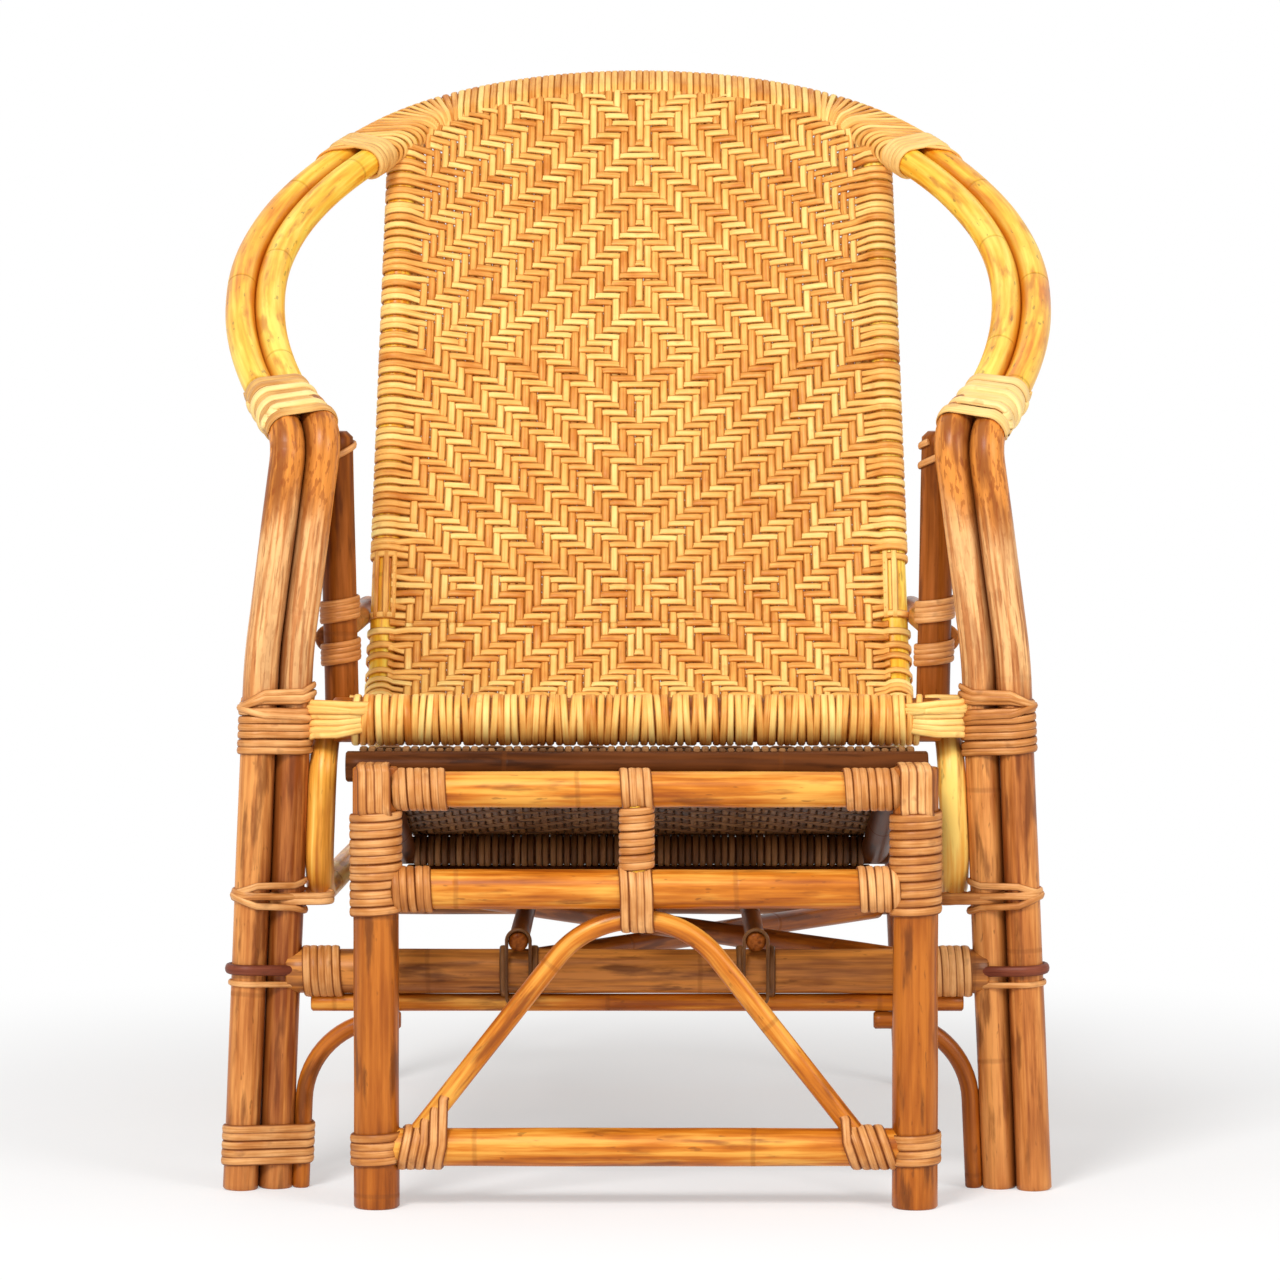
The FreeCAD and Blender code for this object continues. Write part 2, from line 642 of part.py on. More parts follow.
# Footrest tray: sloped frame with a woven top, carried by the legs and by a bar on the runners
tray_r = tray_pole / 2
tray_half = foot_leg_half - tray_inset
slide_bar_half = tray_half - slide_bar_inset
tray_front = Vector(foot_leg_half + foot_leg_r, foot_y + foot_leg_r + joint_gap + tray_r, tray_front_z)
slide_bar_z = runner_z + runner_r + slide_gap + slide_bar_pole / 2
tray_rear = Vector(tray_half + tray_r, tray_rear_y, slide_bar_z + slide_bar_pole / 2 + joint_gap + tray_r)
slide_bar_end = Vector(slide_bar_half, tray_rear_y, slide_bar_z)
parts["footrest_tray_front_rail"] = cylinder(across(tray_front), tray_front, tray_pole)
parts["footrest_tray_rear_rail"] = cylinder(across(tray_rear), tray_rear, tray_pole)
parts["footrest_slide_bar"] = cylinder(across(slide_bar_end), slide_bar_end, slide_bar_pole)
tray_tools = [
    cylinder(across(tray_front), tray_front, tray_pole + 2 * joint_gap),
    cylinder(across(tray_rear), tray_rear, tray_pole + 2 * joint_gap),
]
tray_side_front = Vector(tray_half, tray_front.y, tray_front.z)
tray_side_rear = Vector(tray_half, tray_rear.y, tray_rear.z)
tray_side = cylinder(tray_side_front, tray_side_rear, tray_pole)
add_pair("footrest_tray_side_rail", coped(tray_side, *tray_tools))
tray_run = (tray_side_rear - tray_side_front).normalize()
tray_normal = Vector(0, -tray_run.z, tray_run.y)
tray_lift = tray_normal * (tray_r + joint_gap + weave_thickness / 2)


def tray_section(end):
    """Ridged outline of the tray's weave above one end of its side rails."""
    reach = Vector(tray_half + tray_r, 0, 0)
    middle = in_profile(end) + tray_lift
    rear = Part.LineSegment(middle + reach, middle - reach).toShape()
    return ridged_section(lambda share: middle + reach * share, rear, tray_normal)


tray_sections = [tray_section(tray_side_front), tray_section(tray_side_rear)]
parts["footrest_woven_top"] = Part.makeLoft(tray_sections, True, True)

# Bindings of the chair frame
add_both("arm_bindings", hoop_band("front", front_angle, arm_binding_length))
add_both("shoulder_bindings", coped(hoop_band("side", shoulder_start, shoulder_binding_length), rail_tool))
stretcher_cover = stretcher_pole + 2 * (strand_thickness + 2 * joint_gap)
stretcher_cover_tool = cylinder(across(front_stretcher_end), front_stretcher_end, stretcher_cover)


def leg_band(z, length):
    """Binding round the twin poles of the right front leg, centred at a height."""
    start = outer_leg_at(z) - lower_run * (length / 2)
    aside = twin_shift - lower_run * twin_shift.dot(lower_run)
    band = hull_band([start, start + aside], frame_r, lower_run, length)
    return coped(band, bow_tool, stretcher_cover_tool)


add_both("leg_bindings", leg_band(leg_binding_z, leg_binding_length))
add_both("leg_cross_lashings", leg_band(bow_low_z, cross_lashing_length))
ring_step = (ring_width + ring_space) / 2
add_both("leg_rings", leg_band(ring_z + ring_step, ring_width), leg_band(ring_z - ring_step, ring_width))

foot_start = outer_leg_at(foot_binding_z) - lower_run * (foot_binding_length / 2)
foot_aside = twin_shift - lower_run * twin_shift.dot(lower_run)
spandrel_reach = foot_aside + Vector(-thin_pole - joint_gap, 0, 0)
spandrel_reach = spandrel_reach - lower_run * spandrel_reach.dot(lower_run)
foot_points = [foot_start, foot_start + spandrel_reach, foot_start + foot_aside]
parts["foot_binding_left"] = mirrored(hull_band(foot_points, frame_r, lower_run, foot_binding_length))

post_bands = []
for step in (-post_lashing_space / 2, post_lashing_space / 2):
    height = side_rail_z + step - post_lashing_length / 2
    place = post_foot + post_run * ((height - post_foot.z) / post_run.z)
    band = ring_band(place, post_run, frame_pole, post_lashing_length)
    post_bands.append(coped(band, rail_tool, side_rail_tool))
add_both("post_lashings", *post_bands)

right = Vector(1, 0, 0)
end_start = Vector(front_stretcher_end.x - frame_r - end_binding_length, front_stretcher_end.y, stretcher_z)
end_band = ring_band(end_start, right, stretcher_pole, end_binding_length)
add_both("stretcher_bindings", coped(end_band, inner_leg_tool, thin_tool))
corner_band = ring_band(
    Vector(wrap_half + joint_gap, front_rail_y, front_rail_z), right, front_rail_pole, corner_binding_length
)
add_both("seat_corner_bindings", coped(corner_band, bow_tool, rail_tool, post_tool))
runner_bands = []
for step in (-runner_r - joint_gap - runner_lashing_length, runner_r + joint_gap):
    place = Vector(runner_half + step, front_stretcher_end.y, stretcher_z)
    runner_bands.append(coped(ring_band(place, right, stretcher_pole, runner_lashing_length), thin_tool))
add_both("runner_lashings", *runner_bands)

# Bindings of the footrest
up = Vector(0, 0, 1)
rail_tool_list = list(foot_rail_tools.values())
gap_middle = (foot_mid_z + foot_mid_pole / 2 + foot_top_z - foot_top_pole / 2) / 2
leg_bands = []
for height, length in ((gap_middle, foot_leg_binding_length), (foot_low_z, foot_low_binding_length)):
    band = ring_band(Vector(foot_leg_half, foot_y, height - length / 2), up, foot_leg_pole, length)
    leg_bands.extend(coped(place, *rail_tool_list, *tray_tools, arch_tool) for place in at_legs(band))
parts["footrest_leg_bindings"] = Part.makeCompound(leg_bands)

rail_bands = []
rail_band_end = foot_leg_half - foot_leg_r - 2 * (strand_thickness + joint_gap)
for rail_z, rail_diameter in foot_rails.values():
    place = Vector(rail_band_end - rail_end_binding_length, foot_y, rail_z)
    band = ring_band(place, right, rail_diameter, rail_end_binding_length)
    rail_bands.extend(coped(place, arch_tool, *foot_leg_tools) for place in at_legs(band))
parts["footrest_rail_bindings"] = Part.makeCompound(rail_bands)

post_clear = strand_thickness + 2 * joint_gap
post_low = foot_mid_z + foot_mid_pole / 2 + post_clear
post_high = foot_top_z - foot_top_pole / 2 - post_clear
post_band = ring_band(Vector(0, foot_y, post_low), up, foot_post_pole, post_high - post_low)
top_strap = ring_band(Vector(-strap_width / 2, foot_y, foot_top_z), right, foot_top_pole, strap_width)
post_bore = foot_post_pole + 2 * joint_gap
post_hole = cylinder(Vector(0, foot_y, foot_mid_z), Vector(0, foot_y, foot_top_z), post_bore)
mid_strap_low = arch_top_z - arch_pole / 2 + foot_mid_pole / 2
mid_strap_points = [
    Vector(-strap_width / 2, foot_y, foot_mid_z),
    Vector(-strap_width / 2, foot_y, mid_strap_low),
]
mid_strap = hull_band(mid_strap_points, foot_mid_pole / 2, right, strap_width)
parts["footrest_post_bindings"] = Part.makeCompound(
    [coped(post_band), coped(top_strap, post_hole), coped(mid_strap, post_hole, arch_tool)]
)

# Move everything along Y to the middle of the footprint, and write one file per piece
box = Part.makeCompound(list(parts.values())).optimalBoundingBox(False, False)
centre = Vector(0, -(box.YMin + box.YMax) / 2, 0)
os.makedirs("parts", exist_ok=True)
for name, shape in parts.items():
    shape.translated(centre).exportStep("parts/%s.step" % name)
print("shift along Y %.3f" % centre.y)
print("size %.1f x %.1f x %.1f" % (box.XLength, box.YLength, box.ZMax))
print("%d pieces" % len(parts))
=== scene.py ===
from math import acos, asin, atan2, ceil, copysign, cos, floor, hypot, pi, radians, sin, tan

import bpy
import numpy as np
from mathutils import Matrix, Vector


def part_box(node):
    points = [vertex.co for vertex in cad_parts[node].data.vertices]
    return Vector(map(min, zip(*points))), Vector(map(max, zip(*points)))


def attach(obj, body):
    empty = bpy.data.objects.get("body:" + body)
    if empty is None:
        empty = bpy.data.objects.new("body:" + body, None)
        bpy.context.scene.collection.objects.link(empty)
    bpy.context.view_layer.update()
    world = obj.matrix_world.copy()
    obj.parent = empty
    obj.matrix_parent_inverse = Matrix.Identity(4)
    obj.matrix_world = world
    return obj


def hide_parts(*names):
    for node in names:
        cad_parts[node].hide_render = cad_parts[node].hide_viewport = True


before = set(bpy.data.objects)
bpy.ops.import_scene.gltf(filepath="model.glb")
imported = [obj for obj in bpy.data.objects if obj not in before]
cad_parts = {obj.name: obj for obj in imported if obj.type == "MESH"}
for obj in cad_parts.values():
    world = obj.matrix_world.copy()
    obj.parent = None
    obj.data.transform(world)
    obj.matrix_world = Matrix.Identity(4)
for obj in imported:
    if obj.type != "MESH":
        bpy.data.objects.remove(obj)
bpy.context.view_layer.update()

# Rattan lounge chair. Shapes are laid out in millimetres from the plane of the front legs, as the
# solids are, and moved into the frame when a piece is put into its mesh.
scene, rng = bpy.context.scene, np.random.default_rng(7)
X, Y, Z = np.eye(3)
join = np.concatenate

foot_y = -94.0
foot_low, foot_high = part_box("footrest_leg_right")
frame_shift = 1000.0 * (foot_low.y + foot_high.y) / 2 - foot_y
metre = 0.001

# Sizes that the solids share
frame_r, hoop_r, hoop_step, pole_gap = 14.5, 13.0, 26.3, 0.3
hoop_tilt = radians(24.0)
arm_front_y, arm_front_z, arm_draw_in, arm_bend_r, arm_lead = 23.0, 646.5, 55.0, 32.0, 4.0
hoop_half_width, hoop_widest_run, hoop_length, hoop_top_radius = 355.5, 308.0, 806.0, 296.0
crown_margin, leg_lap = 38.0, 20.0
upper_splay, lower_splay, knee_z, knee_r = radians(7.6), radians(2.5), 450.0, 500.0
rear_leg_angle, rear_foot, rear_leg_drop = radians(41.4), np.array([262.0, 640.0, 0.0]), 12.0
seat_front_half, seat_rear_half, seat_depth = 222.0, 242.0, 437.0
seat_fall, seat_bend_radius = radians(7.3), 130.0
front_rail_z, front_rail_r, rail_r, rail_lap = 397.0, 19.0, 13.0, 8.0
bow_top_z, bow_low_z, bow_r, bow_bend_r, bow_tail = 384.0, 249.0, 12.0, 45.0, 120.0
post_y, post_top_z, post_lean, post_lap = 60.0, 640.0, 26.0, 20.0
side_rail_z, side_rail_y, side_rail_r, crease_rail_r = 463.0, 66.0, 12.0, 12.0
stretcher_z, stretcher_r, stretcher_gap, thin_r = 184.0, 19.0, 3.0, 7.5
under_inset, spandrel_reach, spandrel_bend_r = 23.5, 200.0, 70.0
runner_x, runner_r, runner_tail = 100.0, 8.5, 24.0
brace_half, brace_inset, brace_r, brace_upper_z, brace_lower_z = 230.0, 8.0, 10.0, 192.0, 171.9
foot_leg_half, foot_leg_shift, foot_leg_r, foot_leg_top = 222.5, 7.4, 19.0, 365.0
foot_top_z, foot_mid_z, foot_low_z = 346.5, 264.0, 50.0
foot_top_r, foot_mid_r, foot_low_r, foot_rail_gap = 15.0, 16.5, 16.0, 4.0
arch_slope, arch_foot_half, arch_end_half, arch_r = radians(51.8), 190.0, 182.0, 8.5
foot_post_r, foot_post_gap = 12.0, 1.0
tray_r, tray_set_back, tray_front_z, tray_rear_y, tray_side_x = 13.0, 13.1, 363.0, 400.0, 218.0
slide_r, slide_gap = 8.5, 0.4

# Shown poles fill out their solids by a trifle
hoop_skin, leg_skin = 0.3, 0.5


def unit(v):
    """Vectors of the same directions and length 1."""
    return v / np.linalg.norm(v, axis=-1, keepdims=True)


def phase(count=None):
    """Random start of a wave, in radians."""
    return rng.uniform(0, 6.3, count)


def around(angle, a, b):
    """Directions at each angle from a towards b."""
    return np.cos(angle)[:, None] * a + np.sin(angle)[:, None] * b


def run_of(path):
    """Distance along a path at each of its points."""
    return join([[0.0], np.cumsum(np.linalg.norm(np.diff(path, axis=0), axis=1))])


# Hoop: tangent arcs in the tilted plane
front_arc_r = (hoop_widest_run ** 2 + arm_draw_in ** 2) / (2 * arm_draw_in)
top_rise = hoop_length - hoop_top_radius - hoop_widest_run
side_reach = hoop_half_width ** 2 + top_rise ** 2 - hoop_top_radius ** 2
side_arc_r = side_reach / (2 * (hoop_half_width - hoop_top_radius))
front_angle = -asin(hoop_widest_run / front_arc_r)
shoulder_angle = atan2(top_rise, side_arc_r - hoop_half_width)
crown_start = shoulder_angle - crown_margin / side_arc_r
hoop_arcs = {
    "front": (hoop_half_width - front_arc_r, hoop_widest_run, front_arc_r),
    "side": (hoop_half_width - side_arc_r, hoop_widest_run, side_arc_r),
    "top": (0.0, hoop_length - hoop_top_radius, hoop_top_radius),
}
hoop_slope = np.array([0.0, cos(hoop_tilt), sin(hoop_tilt)])
hoop_normal = np.cross(X, hoop_slope)
hoop_root = np.array([0.0, arm_front_y, arm_front_z])
arm_run = sin(front_angle) * X - cos(front_angle) * hoop_slope
arm_side = cos(front_angle) * X + sin(front_angle) * hoop_slope


def splayed(angle):
    """Direction down a leg that leans outwards by the angle."""
    return sin(angle) * X - cos(angle) * Z


upper_run, lower_run = splayed(upper_splay), splayed(lower_splay)
leg_step = (2 * frame_r + pole_gap) / np.linalg.norm(np.cross(arm_side, upper_run))


def in_hoop(x, u):
    """Point of the hoop's plane: x across, u up the slope."""
    x, u = np.broadcast_arrays(x, u)
    return hoop_root + x[..., None] * X + u[..., None] * hoop_slope


def on_hoop(arc, angle, inset=0.0):
    """Point on one of the right side's arcs, or on a parallel arc set in from it."""
    cx, cu, radius = hoop_arcs[arc]
    return in_hoop(cx + (radius - inset) * np.cos(angle), cu + (radius - inset) * np.sin(angle))


def hoop_line(inset, step=7.0):
    """The three arcs of the right half, from the arm's front to the top, then their mirror image."""
    half = []
    for arc, start, end in (
        ("front", front_angle, 0.0), ("side", 0.0, shoulder_angle), ("top", shoulder_angle, pi / 2)
    ):
        count = max(4, int((end - start) * hoop_arcs[arc][2] / step))
        half.append(on_hoop(arc, np.linspace(start, end, count, endpoint=False), inset))
    half = join(half)
    top = on_hoop("top", pi / 2, inset)[None]
    return join([half, top, mirror(half)[::-1]])


def bent_line(points, radii, step=6.0):
    """Straight runs through the points, with a tangent arc of the given radius at each inner point."""
    points = np.asarray(points, float)
    pieces, start = [], points[0]
    for k, radius in enumerate(radii):
        corner = points[k + 1]
        before, after = unit(points[k] - corner), unit(points[k + 2] - corner)
        half = acos(np.clip(before @ after, -1, 1)) / 2
        reach, inward = radius / tan(half), unit(before + after)
        centre = corner + inward * radius / sin(half)
        first, last = corner + before * reach, corner + after * reach
        pieces.append(straight(start, first, step)[:-1])
        spoke, turn = unit(first - centre), pi - 2 * half
        other = unit(last - centre - (last - centre) @ spoke * spoke)
        angle = np.linspace(0, turn, max(4, int(radius * turn / step)))[:, None]
        pieces.append((centre + radius * (np.cos(angle) * spoke + np.sin(angle) * other))[:-1])
        start = last
    pieces.append(straight(start, points[-1], step))
    return join(pieces)


def straight(start, end, step=12.0):
    """Even points on a straight run, about a step apart."""
    start, end = np.asarray(start, float), np.asarray(end, float)
    count = max(3, int(np.linalg.norm(end - start) / step))
    return start + (end - start) * np.linspace(0, 1, count)[:, None]


def mirror(line):
    """The same points on the other side."""
    return line * [-1.0, 1.0, 1.0]


# Front legs, rear legs and the seat's rails
arm_end = on_hoop("front", front_angle)
bend_half = acos(arm_run @ upper_run) / 2
arm_corner = arm_end + arm_run * (arm_lead + arm_bend_r * tan(bend_half))
knee = arm_corner + upper_run * ((knee_z - arm_corner[2]) / upper_run[2])
twin_shift = -leg_step * arm_side


def leg_at(z, inner=False):
    """Centre of the right front leg's straight lower run at a height."""
    start = knee + twin_shift * inner
    return start + lower_run * ((z - start[2]) / lower_run[2])


def leg_line(inner=False):
    """Right front leg: from its lap along the arm round the arm's bend and the knee to the floor."""
    shift = twin_shift * inner
    points = [arm_end + shift - arm_run * leg_lap, arm_corner + shift, knee + shift, leg_at(0.0, inner)]
    return bent_line(points, [arm_bend_r, knee_r])


rear_top = on_hoop("top", rear_leg_angle)
rear_run = unit(rear_foot - rear_top)


def rear_at(z):
    """Centre of the right rear leg at a height."""
    return rear_top + rear_run * ((z - rear_top[2]) / rear_run[2])


front_rail_y = leg_at(front_rail_z, True)[1]
rail_front = np.array([seat_front_half, front_rail_y, front_rail_z + front_rail_r - rail_r])
seat_drop = seat_depth * tan(seat_fall)
crease = np.array([seat_rear_half, front_rail_y + seat_depth, rail_front[2] - seat_drop])
stile_top = on_hoop("top", shoulder_angle, hoop_step)
seat_run, stile_run = unit(crease - rail_front), unit(stile_top - crease)
half_bend = acos(-seat_run @ stile_run) / 2
bend_reach = seat_bend_radius / tan(half_bend)
back_run = unit(stile_run * [0, 1, 1])
back_normal = np.cross(X, back_run)
seat_normal = unit(np.cross(X, seat_run))


class Strands:
    """Poles and strands of one piece: rings or flat ovals carried along paths. For the materials, each
    point keeps its place on the straightened strand, in metres, the strand's own tone, and its share of
    painted shade where it faces a pole close by."""

    seam_start, seam_run, grain_shift = 0.55, 0.4, 40.0

    def __init__(self, points=6):
        angle = np.arange(points) * 2 * pi / points
        self.oval = np.stack([np.cos(angle), np.sin(angle)], -1)
        self.verts, self.quads, self.caps, self.total = [], [], [], 0
        self.cane, self.tone, self.seam_shade = [], [], []

    def carry(self, path, out, across, through, closed=False, tone=None, bevel=0.0, seam=None):
        """Oval with half sizes across and through, carried along the path: point = path + side * across
        * cos(a) + out * through * sin(a), where side is at right angles to the path and to out. A seam
        is the direction to a pole close by, and points that face it get painted shade, the shade that falls
        into the gap between two poles."""
        path = np.asarray(path, float)
        tangent = np.roll(path, -1, 0) - np.roll(path, 1, 0) if closed else np.gradient(path, axis=0)
        tangent = unit(tangent)
        out = np.broadcast_to(out, path.shape)
        out = unit(out - (out * tangent).sum(-1, keepdims=True) * tangent)
        side = np.cross(out, tangent)
        across = np.broadcast_to(across, path.shape[:1])[:, None, None]
        through = np.broadcast_to(through, path.shape[:1])[:, None, None]
        a, b = self.oval[None, :, :1] * across, self.oval[None, :, 1:] * through
        verts = path[:, None] + side[:, None] * a + out[:, None] * b
        along = np.broadcast_to(run_of(path)[:, None, None], a.shape)
        cane = join([a, b, along], -1) * metre
        # Painted shade on the points that face the pole close by
        seam_shade = np.zeros(verts.shape[:2])
        if seam is not None:
            faces = unit(verts - path[:, None]) @ np.broadcast_to(seam, path.shape)[..., None]
            seam_shade = np.clip((faces[..., 0] - self.seam_start) / self.seam_run, 0, 1)
        if bevel:
            verts, cane = self.bevelled(verts, cane, path, bevel)
            seam_shade = join([seam_shade[:1], seam_shade, seam_shade[-1:]])
        rows, cols = verts.shape[:2]
        tone = rng.random() if tone is None else tone
        number = np.arange(rows * cols).reshape(rows, cols) + self.total
        ahead = np.roll(number, -1, 0) if closed else number[1:]
        here = number if closed else number[:-1]
        self.quads.append(
            np.stack([here, ahead, np.roll(ahead, -1, 1), np.roll(here, -1, 1)], -1).reshape(-1, 4)
        )
        if not closed:
            self.caps.append(np.stack([number[0], number[-1][::-1]]))
        self.verts.append(verts.reshape(-1, 3))
        self.cane.append(cane.reshape(-1, 3) + [0.0, 0.0, self.grain_shift * tone])
        self.tone.append(np.full(rows * cols, tone))
        self.seam_shade.append(seam_shade.ravel())
        self.total += rows * cols

    @staticmethod
    def bevelled(verts, cane, path, bevel):
        """Rings moved in from both ends by the bevel, and drawn together at the ends themselves."""
        first, last = unit(path[1] - path[0]) * bevel, unit(path[-2] - path[-1]) * bevel
        shrink = 1.0 - bevel / np.linalg.norm(verts[0] - path[0], axis=-1).max()
        start = path[0] + (verts[:1] - path[0]) * shrink
        end = path[-1] + (verts[-1:] - path[-1]) * shrink
        verts = join([start, verts[:1] + first, verts[1:-1], verts[-1:] + last, end])
        return verts, join([cane[:1], cane, cane[-1:]])

    def piece(self, name, node, finish, slot="woven_strand"):
        """Puts the collected surfaces into one mesh, in metres in the frame, on the node's body."""
        verts = (join(self.verts) + [0.0, frame_shift, 0.0]) * metre
        quads = join(self.quads)
        caps = [cap for ends in self.caps for cap in ends.tolist()]
        mesh = bpy.data.meshes.new(name)
        mesh.from_pydata(verts, [], quads.tolist() + caps)
        mesh.polygons.foreach_set("use_smooth", np.arange(len(mesh.polygons)) < len(quads))
        cane = mesh.attributes.new("cane", "FLOAT_VECTOR", "POINT")
        cane.data.foreach_set("vector", join(self.cane).ravel())
        for key, values in (("tone", self.tone), ("seam_shade", self.seam_shade)):
            kept = mesh.attributes.new(key, "FLOAT", "POINT")
            kept.data.foreach_set("value", join(values))
        mesh.update()
        mesh.materials.append(finish)
        obj = bpy.data.objects.new(name, mesh)
        scene.collection.objects.link(obj)
        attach(obj, "footrest" if node.startswith("footrest") else "chair")
        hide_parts(node)


# Materials


class Value:
    """A shader socket whose arithmetic adds Math nodes."""

    def __init__(self, tree, socket):
        self.tree, self.socket = tree, socket

    def math(self, operation, a, b=0.0):
        return self.tree.node("Math", {"operation": operation}, {0: a, 1: b})

    def __add__(self, other):
        return self.math("ADD", self, other)

    def __sub__(self, other):
        return self.math("SUBTRACT", self, other)

    def __rsub__(self, other):
        return self.math("SUBTRACT", other, self)

    def __mul__(self, other):
        return self.math("MULTIPLY", self, other)

    def __truediv__(self, other):
        return self.math("DIVIDE", self, other)

    def __abs__(self):
        return self.math("ABSOLUTE", self)

    __radd__, __rmul__ = __add__, __mul__

    def smooth(self, low, high):
        """0 below low, 1 above high, and smooth between; low may be the greater."""
        if low > high:
            return 1.0 - self.smooth(high, low)
        settings = {"interpolation_type": "SMOOTHSTEP"}
        return self.tree.node("MapRange", settings, {0: self, 1: low, 2: high})


class Tree:
    """A node tree, and the one way in which nodes come into it."""

    def __init__(self, tree):
        self.tree = tree

    def node(self, kind, settings=None, inputs=None, output=0):
        """A new node: its settings first, then values or links into its sockets."""
        node = self.tree.nodes.new("ShaderNode" + kind)
        for key, value in (settings or {}).items():
            setattr(node, key, value)
        for key, value in (inputs or {}).items():
            self.feed(node.inputs[key], value)
        return Value(self, node.outputs[output])

    def feed(self, socket, value):
        if isinstance(value, Value):
            self.tree.links.new(value.socket, socket)
        else:
            socket.default_value = value

    def seen_rays(self):
        """1 for rays that are to see the white ground: from the camera, off gloss or through glass."""
        seen = self.node("LightPath", output="Is Camera Ray")
        for kind in ("Is Glossy Ray", "Is Transmission Ray"):
            seen = seen.math("MAXIMUM", seen, self.node("LightPath", output=kind))
        return seen


class Finish(Tree):
    """One material, on a Principled shader."""

    def __init__(self, name, shader):
        self.material = bpy.data.materials.new(name)
        self.material.use_nodes = True
        super().__init__(self.material.node_tree)
        self.shader = self.tree.nodes["Principled BSDF"]
        for socket, value in shader.items():
            self.feed(self.shader.inputs[socket], value)

    def attribute(self, name, output="Fac"):
        return self.node("Attribute", {"attribute_name": name}, output=output)

    def part(self, vector, axis):
        return self.node("SeparateXYZ", inputs={0: vector}, output=axis)

    def noise(self, vector, scale, detail=3.0, along=1.0, across=1.0):
        """Noise drawn out along a cane where the share along is the less."""
        mapping = {"Vector": vector, "Scale": (across, across, along)}
        place = self.node("Mapping", {"vector_type": "POINT"}, mapping)
        return self.node("TexNoise", inputs={"Vector": place, "Scale": scale, "Detail": detail})

    def ramp(self, value, *stops):
        ramp = self.node("ValToRGB", inputs={0: value})
        elements = ramp.socket.node.color_ramp.elements
        while len(elements) < len(stops):
            elements.new(1.0)
        for element, (place, colour) in zip(elements, stops):
            element.position, element.color = place, (*linear(colour), 1.0)
        return ramp

    def mix(self, colour, *coats):
        """The colour changed by each coat's share to the coat's own colour, in turn."""
        for share, tint in coats:
            a, b = (c if isinstance(c, Value) else (*linear(c), 1.0) for c in (colour, tint))
            colour = self.node("Mix", {"data_type": "RGBA"}, {0: share, 6: a, 7: b}, output=2)
        return colour

    def show(self, colour, roughness, height, strength, distance):
        """Feeds the shader, with the height as a bump, and gives the finished material."""
        bump = {"Strength": strength, "Distance": distance, "Height": height}
        self.feed(self.shader.inputs["Base Color"], colour)
        self.feed(self.shader.inputs["Roughness"], roughness)
        self.feed(self.shader.inputs["Normal"], self.node("Bump", inputs=bump))
        return self.material


def linear(colour):
    """Linear light from an 8-bit display colour."""
    c = np.asarray(colour, float) / 255.0
    return tuple(np.where(c <= 0.04045, c / 12.92, ((c + 0.055) / 1.055) ** 2.4))


# Metres between the nodes of a cane
node_spacing = 0.23


def pole_finish(name, deep, middle, pale, vein_and_seam_shade, scorch=False, gloss=1.0):
    """Old varnished cane: streaks along the pole, burnt veins and specks, dark rings at its nodes, and
    painted shade on the side that faces a twin pole.
    """
    varnish = {"Coat Weight": 0.05 * gloss, "Coat Roughness": 0.25, "Specular IOR Level": 0.22 * gloss}
    f = Finish(name, varnish)
    cane, tone, seam_shade = f.attribute("cane", "Vector"), f.attribute("tone"), f.attribute("seam_shade")
    streak = f.noise(cane, 230.0, 5.0, 0.05)
    patch = f.noise(cane, 30.0, 4.0, 0.3)
    smear = f.noise(cane, 90.0, 6.0, 0.16)
    speck = f.noise(cane, 210.0, 2.0, 0.3)
    along = f.part(cane, 2)
    turn = along.math("FRACT", along / node_spacing + patch * 0.02)
    node = (abs(turn - 0.5) * node_spacing).smooth(0.003, 0.0008)
    share = streak * 0.5 + patch * 0.5 + (tone - 0.5) * 0.12
    coats = [
        (smear.smooth(0.53, 0.68) * 0.75, vein_and_seam_shade),
        (speck.smooth(0.66, 0.74) * 0.45, (92, 48, 16)),
        (node * 0.28, (112, 60, 22)),
    ]
    if scorch:
        height = f.part(f.node("TexCoord", output="Object"), 2)
        wander = height + (patch - 0.5) * 0.12
        burnt = wander.smooth(0.55, 0.60)
        bleached = wander.smooth(0.40, 0.46) * (1.0 - burnt)
        blotch = (smear * 0.65 + patch * 0.35).smooth(0.47, 0.58)
        fleck = f.noise(cane, 280.0, 5.0, 0.35).smooth(0.53, 0.61)
        crack = f.noise(cane, 420.0, 6.0, 0.07).smooth(0.56, 0.66)
        coats += [
            (bleached * 0.85, f.ramp(streak, (0.4, (206, 136, 78)), (0.55, (248, 194, 130)))),
            (burnt * 0.75, (232, 146, 58)),
            ((burnt + bleached * 0.35) * blotch * 0.8, (128, 62, 16)),
            ((burnt * 0.6 + bleached * 0.2) * fleck, (146, 70, 18)),
            (crack * (0.25 + bleached * 0.3), (140, 74, 30)),
            (wander.smooth(0.09, 0.0) * 0.35, (196, 126, 66)),
        ]
    # Painted shade on the side that faces a twin pole, where the gap between them lies in shade
    coats.append((seam_shade * (0.7 + patch * 0.35), vein_and_seam_shade))
    colour = f.mix(f.ramp(share, (0.36, deep), (0.49, middle), (0.62, pale)), *coats)
    rough = 0.36 + (patch - 0.5) * 0.3 + node * 0.2
    return f.show(colour, rough, streak * 0.5 + smear * 0.5 + node, 0.3, 0.0008)


